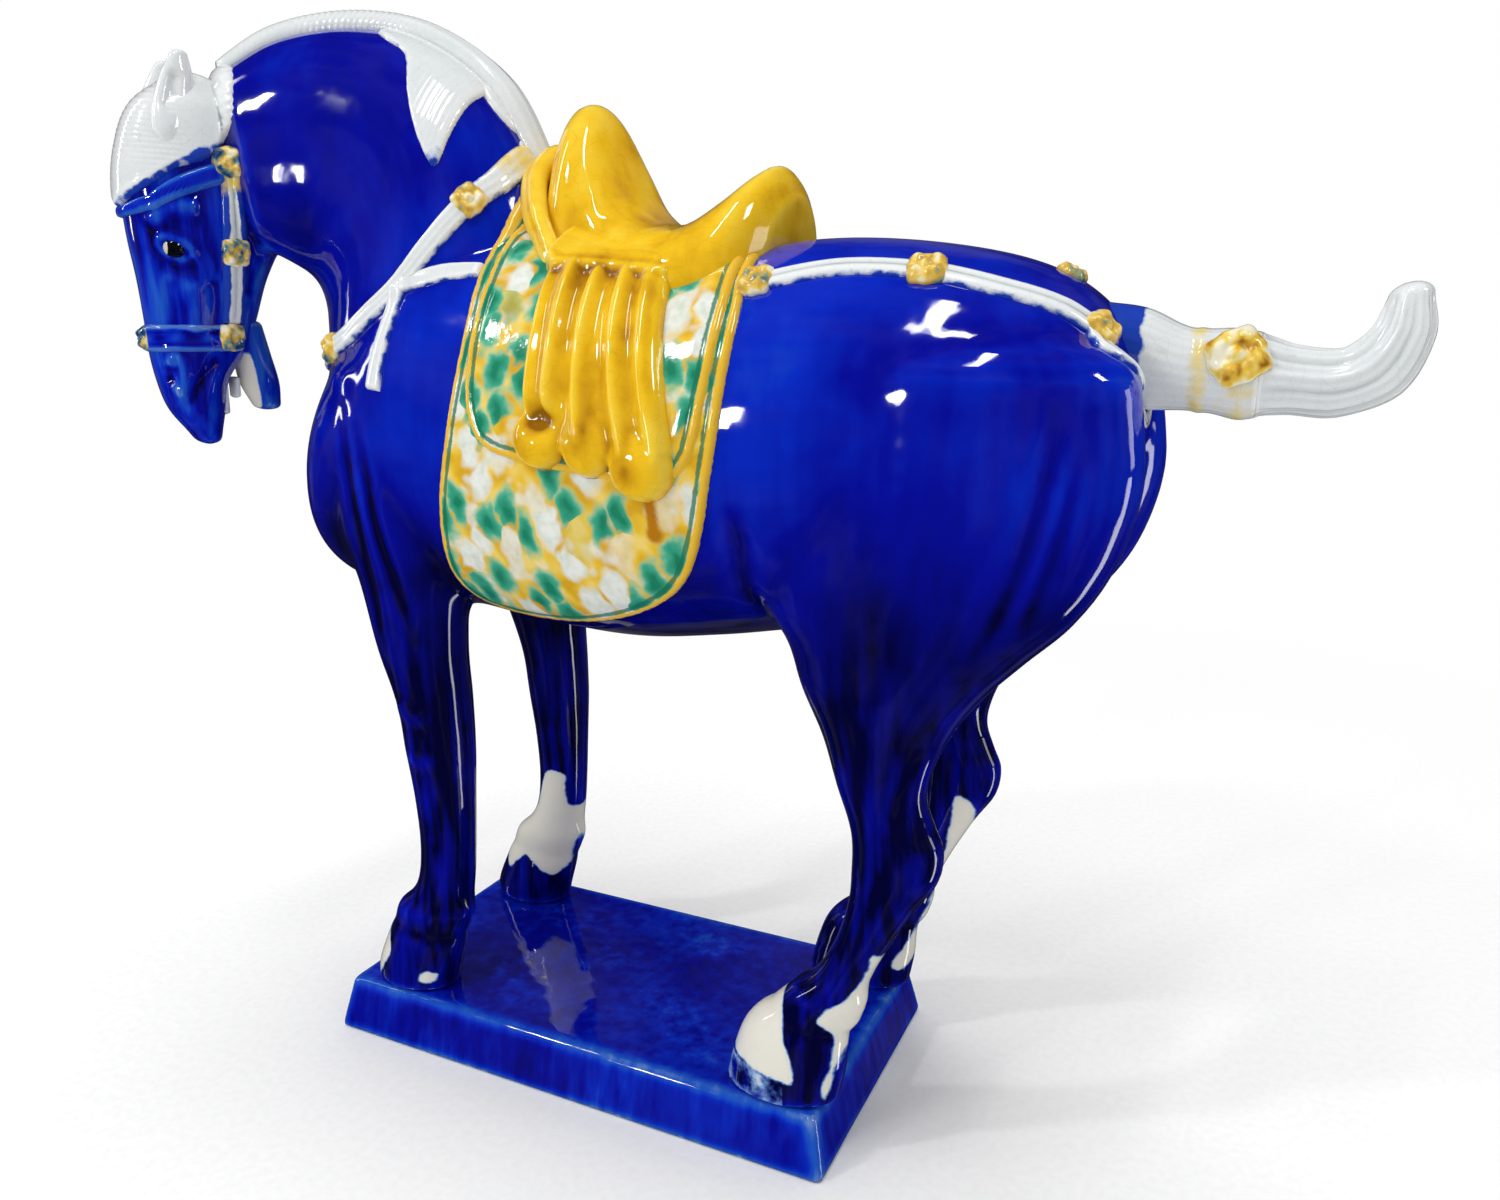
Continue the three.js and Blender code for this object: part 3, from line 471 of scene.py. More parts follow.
# Where thin glaze leaves the pale clay showing: places and reach of the bare patches on the legs
BARE_PATCHES = {
    (LEFT, 1): [
        [
            (72, 22), (80, 31), (95, 40), (106, 51), (111, 47), (113, 36), (117, 24), (118, 13), (106, 14), (92, 15.5),
            (78, 18),
        ],
        [
            (151, 78), (146, 66), (140, 56), (131, 49), (128, 44), (134, 38), (134, 26), (130, 12), (131, 4), (133, 12),
            (137, 28), (143, 33), (151, 50), (156, 66),
        ],
    ],
    (LEFT, -1): [
        [(-114, 35), (-109, 30), (-106, 24), (-106, 17), (-111, 9), (-117, 1), (-130, 0), (-124, 14), (-117, 28)],
        [(-87, 7), (-80, 6), (-78, 11), (-84, 12)],
    ],
    (RIGHT, -1): [
        [
            (-76, 86), (-66, 84), (-67, 76), (-66, 66), (-60, 60), (-62, 46), (-66, 39), (-70, 28), (-77, 20),
            (-84, 25), (-92, 32), (-98, 28), (-106, 21), (-112, 32), (-101, 47), (-88, 60), (-83, 72),
        ],
    ],
    (RIGHT, 1): [
        [
            (158, 112), (166, 106), (162, 88), (154, 66), (148, 44), (142, 28), (134, 13), (129, 15), (134, 26),
            (140, 38), (146, 54), (151, 74), (155, 92),
        ],
    ],
}


def outline_distance(points, outline):
    best = np.full(len(points), np.inf)
    for a, b in zip(outline, np.roll(outline, -1, axis=0)):
        run = b - a
        t = np.clip(((points - a) @ run) / max(run @ run, 1e-9), 0, 1)
        best = np.minimum(best, np.linalg.norm(points - a - t[:, None] * run, axis=1))
    return best


def within(points, outline):
    crossings = np.zeros(len(points), int)
    for a, b in zip(outline, np.roll(outline, -1, axis=0)):
        spans = (points[:, 1] < a[1]) != (points[:, 1] < b[1])
        reach = a[0] + (points[:, 1] - a[1]) * (b[0] - a[0]) / (b[1] - a[1] if b[1] != a[1] else 1)
        crossings += spans & (points[:, 0] < reach)
    return crossings % 2 == 1


def bareness(points):
    """0 under full glaze, 1 on bare patches of the legs"""
    spots = np.stack([points[:, 0], points[:, 2] - DECK], axis=1)
    bare = np.zeros(len(points))
    for (side, end), patches in BARE_PATCHES.items():
        near = (points[:, 1] * side < 0) & (points[:, 0] * end > 0) & (spots[:, 1] < 125)
        for outline in patches:
            outline = spline(outline, len(outline) * 4, closed=True)
            depth = outline_distance(spots[near], outline) * np.where(within(spots[near], outline), 1, -1)
            bare[near] = np.maximum(bare[near], smooth_step(depth, -3.2, 3.2))
    toe = (points[:, 1] < 0) & (np.abs(spots[:, 0] - 93) < 22) & (spots[:, 1] < 50)
    washed = 0.44 + 0.56 * smooth_step(spots[:, 1] + 0.5 * (spots[:, 0] - 81), 8, 36)
    bare[toe] = np.where(spots[toe, 1] < 15, np.maximum(bare[toe], 0.42), bare[toe]) * washed[toe]
    bare[toe] = np.maximum(bare[toe], np.where(spots[toe, 1] < 15, 0.4, 0))
    return bare


def pooling(hollow):
    """0 on sharp edges, 0.5 on plain skin, 1 in grooves"""
    return 0.5 + 0.5 * np.tanh(hollow / 0.1)


from_poll = body.points - POLL
on_head = smooth_step(from_poll @ HEAD_FORWARD, -22, -6)
on_head *= 1 - smooth_step(np.abs(from_poll @ HEAD_LEFT), 30, 38)
# Painted shade: the pool value is raised on the lower body and legs so that the glaze darkens there, on top of the
# glaze gathering in grooves; the upper barrel is made a little lighter
low_shade = 1 - smooth_step(body.points[:, 2], DECK + 150, DECK + 290)
on_barrel = smooth_step(body.points[:, 0], -100, -70) * (1 - smooth_step(body.points[:, 2], DECK + 372, DECK + 400))
body_pool_and_shade = 0.5 + (pooling(body.hollowness(2)) - 0.5) * (1 - 0.3 * on_head) + 0.05 * on_head
body_pool_and_shade += 0.36 * low_shade - 0.13 * on_barrel * (1 - low_shade) * (1 - 0.8 * smooth_step(body.points[:, 0], 110, 200))
body_bare = bareness(body.points)
# Thin glaze lightens the head; on the legs the thin value draws vertical streaks that are partly glaze runs and partly
# painted highlights
body_thin_and_leg_sheen = 0.8 * on_head * (1 - smooth_step(from_poll[:, 2], 395, 412))
body_thin_and_leg_sheen = np.maximum(body_thin_and_leg_sheen, 0.65 * (1 - smooth_step(body.points[:, 2], DECK + 90, DECK + 230)))


# Glazes. Colours are sRGB, patterns are sized in millimetres.
def linear(code):
    parts = [int(code[i:i + 2], 16) / 255 for i in (1, 3, 5)]
    return [*(p / 12.92 if p <= 0.04045 else ((p + 0.055) / 1.055) ** 2.4 for p in parts), 1.0]


def per_metre(millimetres):
    return 1000 / millimetres


def add(tree, kind, settings=None, links=None, stops=None):
    """Adds a node with its settings and links"""
    node = tree.nodes.new("ShaderNode" + kind)
    for key, value in (settings or {}).items():
        if isinstance(key, str) and hasattr(node, key):
            setattr(node, key, value)
        else:
            node.inputs[key].default_value = value
    for key, source in (links or {}).items():
        tree.links.new(source, node.inputs[key])
    if stops:
        ramp = node.color_ramp
        while len(ramp.elements) < len(stops):
            ramp.elements.new(1.0)
        for element, (place, code) in zip(ramp.elements, stops):
            element.position = place
            element.color = linear(code) if isinstance(code, str) else [code, code, code, 1.0]
    return node


def new_glaze(name):
    material = bpy.data.materials.new(name)
    material.use_nodes = True
    tree = material.node_tree
    tree.nodes.clear()
    return material, tree


def finish_glaze(tree, colour, roughness, height, depth):
    """Glassy lead glaze: a colour under a smooth, slightly uneven surface"""
    bump = add(tree, "Bump", {"Strength": 1.0, "Distance": depth * MM}, {"Height": height})
    shader = add(
        tree,
        "BsdfPrincipled",
        {"Roughness": roughness, "IOR": 1.5, "Coat Weight": 0.35, "Coat Roughness": 0.03},
        {"Base Color": colour, "Normal": bump.outputs[0]},
    )
    add(tree, "OutputMaterial", None, {"Surface": shader.outputs[0]})


def cobalt_glaze():
    # Cobalt lead glaze: runs down in streaks, gathers navy in hollows and thins to pale blue on edges; the pool value
    # also brings painted shade to the lower body and legs, and the thin streaks on the legs are partly painted
    # highlights
    material, tree = new_glaze("cobalt_lead_glaze")
    place = add(tree, "TexCoord").outputs["Object"]
    pool = add(tree, "Attribute", {"attribute_name": "pool"}).outputs["Fac"]
    bare = add(tree, "Attribute", {"attribute_name": "bare"}).outputs["Fac"]
    thin = add(tree, "Attribute", {"attribute_name": "thin"}).outputs["Fac"]
    stretched = add(tree, "Mapping", {"Scale": (1, 1, 0.08)}, {"Vector": place}).outputs[0]
    streaks = add(tree, "TexNoise", {"Scale": per_metre(6), "Detail": 3}, {"Vector": stretched}).outputs["Fac"]
    clouds = add(tree, "TexNoise", {"Scale": per_metre(55), "Detail": 3}, {"Vector": place}).outputs["Fac"]
    drift = add(tree, "Math", {"operation": "MULTIPLY_ADD", 1: 0.46, 2: 0.39}, {0: clouds}).outputs[0]
    both = add(tree, "Math", {"operation": "MULTIPLY_ADD", 1: 0.09}, {0: streaks, 2: drift}).outputs[0]
    drawn = add(tree, "Math", {"operation": "MULTIPLY_ADD", 1: 1.15, 2: -0.38}, {0: streaks}).outputs[0]
    lifted = add(tree, "Math", {"operation": "MULTIPLY_ADD"}, {0: drawn, 1: thin, 2: both}).outputs[0]
    level = add(tree, "Math", {"operation": "MULTIPLY_ADD", 1: -0.9}, {0: pool, 2: lifted}).outputs[0]
    colour = add(tree, "ValToRGB", None, {"Fac": level}, [
        (0.0, "#020230"), (0.1, "#040668"), (0.24, "#050b92"), (0.4, "#0628ba"), (0.62, "#2058c0"), (0.88, "#84a4cc"),
    ]).outputs[0]
    torn = add(tree, "TexNoise", {"Scale": per_metre(11), "Detail": 5, "Roughness": 0.6}, {"Vector": place})
    spread = add(tree, "Math", {"operation": "MULTIPLY", 1: 0.7}, {0: bare}).outputs[0]
    edge = add(tree, "Math", {"operation": "MULTIPLY_ADD", 1: 0.7}, {0: torn.outputs["Fac"], 2: spread}).outputs[0]
    mask = add(tree, "ValToRGB", None, {"Fac": edge}, [(0.58, 0.0), (0.7, 1.0)]).outputs[0]
    wash = add(tree, "ValToRGB", None, {"Fac": edge}, [
        (0.6, "#2a52b8"), (0.7, "#86a8d6"), (0.76, "#dcdcd4"), (1.0, "#e6e3d8"),
    ]).outputs[0]
    mixed = add(tree, "MixRGB", None, {"Fac": mask, "Color1": colour, "Color2": wash}).outputs[0]
    ripple = add(tree, "TexNoise", {"Scale": per_metre(14), "Detail": 1}, {"Vector": place}).outputs["Fac"]
    finish_glaze(tree, mixed, 0.06, ripple, 0.35)
    return material


def cream_glaze():
    # Clear glaze over white clay: grey-green where it gathers, finely crackled, with a faint cobalt bleed
    material, tree = new_glaze("clear_glaze_over_white_clay")
    place = add(tree, "TexCoord").outputs["Object"]
    pool = add(tree, "Attribute", {"attribute_name": "pool"}).outputs["Fac"]
    bleed = add(tree, "Attribute", {"attribute_name": "bleed"}).outputs["Fac"]
    clouds = add(tree, "TexNoise", {"Scale": per_metre(20), "Detail": 3}, {"Vector": place}).outputs["Fac"]
    level = add(tree, "Math", {"operation": "MULTIPLY_ADD", 1: 0.35}, {0: clouds, 2: pool}).outputs[0]
    base = add(tree, "ValToRGB", None, {"Fac": level}, [
        (0.35, "#e6e9e9"), (0.75, "#d6dbdc"), (0.95, "#bcc4c4"), (1.0, "#9aa4a4"),
    ]).outputs[0]
    torn = add(tree, "TexNoise", {"Scale": per_metre(6), "Detail": 4}, {"Vector": place}).outputs["Fac"]
    reach = add(tree, "Math", {"operation": "MULTIPLY_ADD", 1: 0.8}, {0: torn, 2: bleed}).outputs[0]
    mask = add(tree, "ValToRGB", None, {"Fac": reach}, [(0.78, 0.0), (0.98, 1.0)]).outputs[0]
    blue = add(tree, "ValToRGB", None, {"Fac": reach}, [(0.8, "#9fb6d4"), (1.0, "#1d3fae")]).outputs[0]
    mixed = add(tree, "MixRGB", None, {"Fac": mask, "Color1": base, "Color2": blue}).outputs[0]
    stain = add(tree, "Attribute", {"attribute_name": "stain"}).outputs["Fac"]
    ran = add(tree, "Math", {"operation": "MULTIPLY_ADD", 1: 0.8}, {0: torn, 2: stain}).outputs[0]
    tinted = add(tree, "ValToRGB", None, {"Fac": ran}, [(0.62, 0.0), (1.0, 0.85)]).outputs[0]
    mixed = add(tree, "MixRGB", {"Color2": linear("#e6cb58")}, {"Fac": tinted, "Color1": mixed}).outputs[0]
    cells = add(tree, "TexVoronoi", {"feature": "DISTANCE_TO_EDGE", "Scale": per_metre(5)}, {"Vector": place})
    cracks = add(tree, "ValToRGB", None, {"Fac": cells.outputs["Distance"]}, [(0.0, 0.82), (0.035, 1.0)]).outputs[0]
    veined = add(tree, "MixRGB", {"blend_type": "MULTIPLY", "Fac": 0.5}, {"Color1": mixed, "Color2": cracks}).outputs[0]
    finish_glaze(tree, veined, 0.1, clouds, 0.25)
    return material


def amber_glaze():
    # Iron amber lead glaze: yellow where thin, brown where it pools, with fine crackle across it
    material, tree = new_glaze("amber_lead_glaze")
    place = add(tree, "TexCoord").outputs["Object"]
    pool = add(tree, "Attribute", {"attribute_name": "pool"}).outputs["Fac"]
    clouds = add(tree, "TexNoise", {"Scale": per_metre(26), "Detail": 3}, {"Vector": place}).outputs["Fac"]
    brushed = add(tree, "Mapping", {"Scale": (1, 1, 0.4)}, {"Vector": place}).outputs[0]
    strokes = add(tree, "TexNoise", {"Scale": per_metre(8), "Detail": 3}, {"Vector": brushed}).outputs["Fac"]
    drawn = add(tree, "Math", {"operation": "MULTIPLY_ADD", 1: 0.45}, {0: strokes, 2: clouds}).outputs[0]
    level = add(tree, "Math", {"operation": "MULTIPLY_ADD", 1: 0.62, 2: -0.2}, {0: drawn}).outputs[0]
    level = add(tree, "Math", {"operation": "ADD"}, {0: level, 1: pool}).outputs[0]
    gathered = add(tree, "Attribute", {"attribute_name": "gathered"}).outputs["Fac"]
    level = add(tree, "Math", {"operation": "ADD"}, {0: level, 1: gathered}).outputs[0]
    base = add(tree, "ValToRGB", None, {"Fac": level}, [
        (0.3, "#f8e48c"), (0.5, "#f4d040"), (0.72, "#ecbc1e"), (0.88, "#cf9a14"), (1.0, "#94620c"),
    ]).outputs[0]
    flat = add(tree, "Mapping", {"Scale": (0.35, 0.6, 1)}, {"Vector": place}).outputs[0]
    cells = add(tree, "TexVoronoi", {"feature": "DISTANCE_TO_EDGE", "Scale": per_metre(4.5)}, {"Vector": flat})
    cracks = add(tree, "ValToRGB", None, {"Fac": cells.outputs["Distance"]}, [(0.0, 0.72), (0.03, 1.0)]).outputs[0]
    veined = add(tree, "MixRGB", {"blend_type": "MULTIPLY", "Fac": 0.35}, {"Color1": base, "Color2": cracks}).outputs[0]
    finish_glaze(tree, veined, 0.07, clouds, 0.3)
    return material


COBALT = cobalt_glaze()
CREAM = cream_glaze()
AMBER = amber_glaze()


def mottled_glaze():
    # Resist-spotted lead glaze: white and green drops kept apart by wax, with amber run in between
    material, tree = new_glaze("resist_spotted_lead_glaze")
    surface = add(tree, "UVMap", {"uv_map": "surface"}).outputs[0]
    rim = add(tree, "Attribute", {"attribute_name": "rim"}).outputs["Fac"]
    drift = add(tree, "TexNoise", {"Scale": per_metre(16), "Detail": 2}, {"Vector": surface}).outputs["Color"]
    bent = add(tree, "MixRGB", {"blend_type": "LINEAR_LIGHT", "Fac": 0.007}, {"Color1": surface, "Color2": drift})
    leaning = add(
        tree, "Mapping", {"Rotation": (0, 0, 0.5), "Scale": (1.25, 0.9, 1)}, {"Vector": bent.outputs[0]},
    ).outputs[0]
    spots = {"Scale": per_metre(15.5), "Randomness": 0.7, "voronoi_dimensions": "2D", "feature": "F1"}
    cells = add(tree, "TexVoronoi", spots, {"Vector": leaning}).outputs
    pick = add(tree, "SeparateColor", None, {"Color": cells["Color"]}).outputs[0]
    kind = add(tree, "ValToRGB", None, {"Fac": pick}, [(0.68, 0.0), (0.7, 1.0)]).outputs[0]
    other = add(tree, "SeparateColor", None, {"Color": cells["Color"]}).outputs[1]
    dropped = add(tree, "ValToRGB", None, {"Fac": other}, [(0.13, 0.0), (0.15, 1.0)]).outputs[0]
    fine = add(tree, "TexNoise", {"Scale": per_metre(5), "Detail": 3}, {"Vector": surface}).outputs["Fac"]
    blur = add(tree, "Math", {"operation": "MULTIPLY_ADD", 1: 0.35}, {0: fine, 2: cells["Distance"]}).outputs[0]
    green = add(tree, "ValToRGB", None, {"Fac": blur}, [
        (0.28, "#1c8060"), (0.5, "#3ca282"), (0.7, "#7cc4a6"),
    ]).outputs[0]
    white = add(tree, "ValToRGB", None, {"Fac": fine}, [(0.3, "#cfd6c8"), (0.6, "#e6e9e2")]).outputs[0]
    drops = add(tree, "MixRGB", None, {"Fac": kind, "Color1": green, "Color2": white}).outputs[0]
    soft = add(tree, "TexNoise", {"Scale": per_metre(11), "Detail": 1}, {"Vector": surface}).outputs["Fac"]
    amber = add(tree, "ValToRGB", None, {"Fac": soft}, [
        (0.36, "#d6a622"), (0.52, "#e6bd34"), (0.68, "#edd070"),
    ]).outputs[0]
    wide = add(tree, "TexNoise", {"Scale": per_metre(19), "Detail": 2, "Roughness": 0.6}, {"Vector": surface})
    bald = add(tree, "ValToRGB", None, {"Fac": wide.outputs["Fac"]}, [(0.54, 0.0), (0.64, 0.75)]).outputs[0]
    ground = add(tree, "MixRGB", None, {"Fac": bald, "Color1": amber, "Color2": white}).outputs[0]
    inside = add(tree, "ValToRGB", None, {"Fac": blur}, [(0.56, 1.0), (0.67, 0.6), (0.8, 0.0)]).outputs[0]
    borders = {"Scale": per_metre(15.5), "Randomness": 0.7, "voronoi_dimensions": "2D", "feature": "DISTANCE_TO_EDGE"}
    border = add(tree, "TexVoronoi", borders, {"Vector": leaning}).outputs["Distance"]
    frayed = add(tree, "Math", {"operation": "MULTIPLY_ADD", 1: 0.62}, {0: soft, 2: border}).outputs[0]
    clear = add(tree, "ValToRGB", None, {"Fac": frayed}, [(0.22, 0.0), (0.37, 1.0)]).outputs[0]
    kept = add(tree, "Math", {"operation": "MULTIPLY"}, {0: inside, 1: dropped}).outputs[0]
    mask = add(tree, "Math", {"operation": "MULTIPLY"}, {0: kept, 1: clear}).outputs[0]
    cloth = add(tree, "MixRGB", None, {"Fac": mask, "Color1": ground, "Color2": drops}).outputs[0]
    hem_noise = add(tree, "Math", {"operation": "MULTIPLY_ADD", 1: 0.5}, {0: fine, 2: rim}).outputs[0]
    hem = add(tree, "ValToRGB", None, {"Fac": hem_noise}, [(0.75, 0.0), (1.0, 1.0)]).outputs[0]
    hemmed = add(tree, "MixRGB", {"Color2": linear("#e6b838")}, {"Fac": hem, "Color1": cloth}).outputs[0]
    line = add(tree, "Attribute", {"attribute_name": "line"}).outputs["Fac"]
    broken = add(tree, "Math", {"operation": "MULTIPLY_ADD", 1: 0.7}, {0: fine, 2: line}).outputs[0]
    inked = add(tree, "ValToRGB", None, {"Fac": broken}, [(0.75, 0.0), (1.0, 0.85)]).outputs[0]
    sunk = add(tree, "MixRGB", {"Color2": linear("#1c7355")}, {"Fac": inked, "Color1": hemmed}).outputs[0]
    drip = add(tree, "Attribute", {"attribute_name": "drip"}).outputs["Fac"]
    sunk = add(tree, "MixRGB", {"Color2": linear("#b5750e")}, {"Fac": drip, "Color1": sunk}).outputs[0]
    finish_glaze(tree, sunk, 0.09, fine, 0.15)
    return material


def eye_glaze():
    # Iron-black glaze dropped on the eye, with a painted highlight: a pale cream patch on the eye's front
    material, tree = new_glaze("iron_black_glaze")
    place = add(tree, "TexCoord").outputs["Object"]
    white = add(tree, "Attribute", {"attribute_name": "white"}).outputs["Fac"]
    torn = add(tree, "TexNoise", {"Scale": per_metre(2), "Detail": 2}, {"Vector": place}).outputs["Fac"]
    level = add(tree, "Math", {"operation": "MULTIPLY_ADD", 1: 0.3}, {0: torn, 2: white}).outputs[0]
    colour = add(tree, "ValToRGB", None, {"Fac": level}, [
        (0.4, "#07080c"), (0.62, "#1a1c22"), (0.8, "#cfc9b4"),
    ]).outputs[0]
    finish_glaze(tree, colour, 0.04, torn, 0.05)
    return material


def sprig_glaze(name, stops):
    # Amber dabbed over the pressed sprigs, run together with the glaze round them
    material, tree = new_glaze(name)
    place = add(tree, "TexCoord").outputs["Object"]
    pool = add(tree, "Attribute", {"attribute_name": "pool"}).outputs["Fac"]
    dabs = add(tree, "TexNoise", {"Scale": per_metre(7), "Detail": 2}, {"Vector": place}).outputs["Fac"]
    spread = add(tree, "Math", {"operation": "MULTIPLY_ADD", 1: 2.4, 2: -0.85}, {0: dabs}).outputs[0]
    level = add(tree, "Math", {"operation": "MULTIPLY_ADD", 1: 0.35}, {0: pool, 2: spread}).outputs[0]
    colour = add(tree, "ValToRGB", None, {"Fac": level}, stops).outputs[0]
    finish_glaze(tree, colour, 0.09, dabs, 0.2)
    return material


MOTTLED = mottled_glaze()
SPRIG = sprig_glaze("dabbed_amber_glaze", [
    (0.2, "#f1e9ca"), (0.4, "#ecce6a"), (0.64, "#d4a83e"), (0.84, "#8f9c78"), (1.0, "#3c5c74"),
])
HEAD_SPRIG = sprig_glaze("dabbed_amber_and_cobalt_glaze", [
    (0.15, "#ece6c8"), (0.32, "#e6c868"), (0.46, "#c4a250"), (0.56, "#6e9088"), (0.74, "#1d3c6c"),
])
TAIL_SPRIG = sprig_glaze("dabbed_yellow_glaze", [
    (0.2, "#efe9cf"), (0.45, "#ecd36a"), (0.7, "#dcae3c"), (0.95, "#9a6a1c"),
])
EYE_BLACK = eye_glaze()


# The bare horse is shown as its seven moulded pieces, cut at their luting seams
def plane_side(points, normal, through):
    return (points - through) @ normal


NECK_LOW, NECK_HIGH = np.array([-155.0, 0, DECK + 300]), np.array([-40.0, 0, DECK + 385])
NECK_NORMAL = unit(np.cross((0, -1, 0), NECK_HIGH - NECK_LOW))
if NECK_NORMAL[2] < 0:
    NECK_NORMAL = -NECK_NORMAL
POLL_LOW, POLL_HIGH = head_point(-24, 362), head_point(-14, 440)
POLL_NORMAL = unit(np.cross(HEAD_LEFT, POLL_HIGH - POLL_LOW))
if POLL_NORMAL @ HEAD_FORWARD < 0:
    POLL_NORMAL = -POLL_NORMAL
LEG_SEAM = np.array([0, 0, DECK + 185.0])


def cut(work, normal, through, among=None):
    """Scores the net along a plane, among the faces that pass a test"""
    faces = work.faces if among is None else [f for f in work.faces if among(np.array(f.calc_center_median()) / MM)]
    verts = {v for f in faces for v in f.verts}
    edges = {e for f in faces for e in f.edges}
    bmesh.ops.bisect_plane(
        work,
        geom=[*verts, *edges, *faces],
        plane_co=Vector(through) * MM,
        plane_no=Vector(normal),
        dist=1e-7,
    )


def above_withers(spot):
    return plane_side(spot, NECK_NORMAL, NECK_LOW) > 0


def part_of(spot):
    if above_withers(spot):
        return "head" if plane_side(spot, POLL_NORMAL, POLL_LOW) > 0 else "neck"
    if spot[2] > LEG_SEAM[2]:
        return "trunk"
    end = "front" if spot[0] < 0 else "hind"
    return f"leg_{end}_{'left' if spot[1] < 0 else 'right'}"


def part_body():
    mesh = body.mesh
    # The pool values carry glaze gathered in grooves and painted shade low on the body and legs
    # The thin values carry thin glaze and painted streak highlights on the legs
    for key, values in (("pool", body_pool_and_shade), ("bare", body_bare), ("thin", body_thin_and_leg_sheen)):
        mesh.attributes.new(key, "FLOAT", "POINT").data.foreach_set("value", values.astype(np.float32))
    kept = mesh.attributes.new("kept_normal", "FLOAT_VECTOR", "POINT")
    kept.data.foreach_set("vector", body.normals.astype(np.float32).ravel())
    whole = bmesh.new()
    whole.from_mesh(mesh)
    cut(whole, NECK_NORMAL, NECK_LOW)
    cut(whole, POLL_NORMAL, POLL_LOW, above_withers)
    cut(whole, UP, LEG_SEAM)
    centres = {f.index: None for f in whole.faces}
    whole.faces.index_update()
    owners = [part_of(np.array(f.calc_center_median()) / MM) for f in whole.faces]
    for name in ("trunk", "neck", "head", "leg_front_left", "leg_front_right", "leg_hind_left", "leg_hind_right"):
        own = whole.copy()
        own.faces.ensure_lookup_table()
        others = [f for f, owner in zip(own.faces, owners) if owner != name]
        bmesh.ops.delete(own, geom=others, context="FACES")
        rims = [e for e in own.edges if e.is_boundary]
        bmesh.ops.holes_fill(own, edges=rims, sides=0)
        result = bpy.data.meshes.new(name)
        own.to_mesh(result)
        own.free()
        normals = np.empty(len(result.vertices) * 3, np.float32)
        result.attributes["kept_normal"].data.foreach_get("vector", normals)
        result.attributes.remove(result.attributes["kept_normal"])
        result.shade_smooth()
        result.normals_split_custom_set_from_vertices(unit(normals.reshape(-1, 3)).tolist())
        piece(result, [name], "cobalt_glaze", COBALT)
    whole.free()


part_body()


# Layers that lie on the horse
def filled(outline, pitch):
    """Triangles over a closed outline, evenly spaced"""
    ring = []
    for a, b in zip(outline, np.roll(outline, -1, axis=0)):
        steps = max(1, int(round(np.linalg.norm(b - a) / pitch)))
        ring += [a + (b - a) * k / steps for k in range(steps)]
    ring = np.array(ring)
    low, high = outline.min(0), outline.max(0)
    rows = []
    for k, y in enumerate(np.arange(low[1], high[1], pitch * 0.87)):
        xs = np.arange(low[0] + (k % 2) * pitch / 2, high[0], pitch)
        rows.append(np.stack([xs, np.full(len(xs), y)], axis=1))
    inner = np.vstack(rows)
    inner = inner[within(inner, outline)]
    inner = inner[outline_distance(inner, outline) > pitch * 0.55]
    points = np.vstack([ring, inner])
    border = [(k, (k + 1) % len(ring)) for k in range(len(ring))]
    found = delaunay_2d_cdt([Vector(p) for p in points], border, [], 1, 1e-7)
    return np.array([tuple(p) for p in found[0]]), [tuple(f) for f in found[2]], len(ring)


def barrel_ray(x, turn):
    """Line towards the barrel's core, from an angle counted in millimetres of skin left of the spine"""
    angle = turn / BARREL_GIRTH
    outward = np.array([0, -math.sin(angle), math.cos(angle)])
    return np.array([x, 0, DECK + BARREL_HUB]) + outward * 200, -outward


BARREL_HUB = 288
BARREL_GIRTH = 76


def barrel_place(path):
    """Chart places of points given by X and height on the left flank"""
    hits = body.flank(path)
    turn = np.arctan2(-hits[:, 1], hits[:, 2] - DECK - BARREL_HUB) * BARREL_GIRTH
    return np.stack([hits[:, 0], turn], axis=1)


def side_ray(side):
    return lambda x, rise: (np.array([x, -160 * side, DECK + rise]), np.array([0, side, 0]))


def shell(chart_points, triangles, border, ray, height, sink):
    """Closed layer over chart triangles: its top stands off the skin by height, its back is sunk in"""
    hits = [body.strike(*ray(*p)) for p in chart_points]
    skin = np.array([h[0] for h in hits])
    normal = np.array([h[1] for h in hits])
    lift = height(chart_points, skin)
    count = len(skin)
    points = np.vstack([skin + normal * lift[:, None], skin - normal * sink])
    faces = list(triangles) + [tuple(count + i for i in reversed(t)) for t in triangles]
    edges = {}
    for triangle in triangles:
        for a, b in zip(triangle, triangle[1:] + triangle[:1]):
            edges[(a, b)] = True
    for a, b in edges:
        if (b, a) not in edges:
            faces.append((b, a, count + a, count + b))
    return points, faces, skin, count


def net_pool(points, faces, count, rounds=1, scale=0.06):
    """Pooling of glaze on any net of points"""
    mesh = bpy.data.meshes.new("measure")
    mesh.from_pydata((points * MM).tolist(), [], [tuple(map(int, f)) for f in faces])
    work = bmesh.new()
    work.from_mesh(mesh)
    bmesh.ops.recalc_face_normals(work, faces=work.faces)
    work.to_mesh(mesh)
    work.free()
    skin = Skin(mesh)
    value = 0.5 + 0.5 * np.tanh(skin.hollowness(rounds) / scale)
    bpy.data.meshes.remove(mesh)
    return value


def softened(points, faces, rounds):
    """The same net with its points drawn a little towards their neighbours"""
    edges = {tuple(sorted(pair)) for face in faces for pair in zip(face, tuple(face[1:]) + tuple(face[:1]))}
    one, two = np.array(sorted(edges)).T
    degree = (np.bincount(one, minlength=len(points)) + np.bincount(two, minlength=len(points)))[:, None]
    for _ in range(rounds):
        total = np.zeros_like(points)
        for k in range(3):
            total[:, k] = np.bincount(one, points[two, k], len(points)) + np.bincount(two, points[one, k], len(points))
        points = points * 0.5 + total / degree * 0.5
    return points


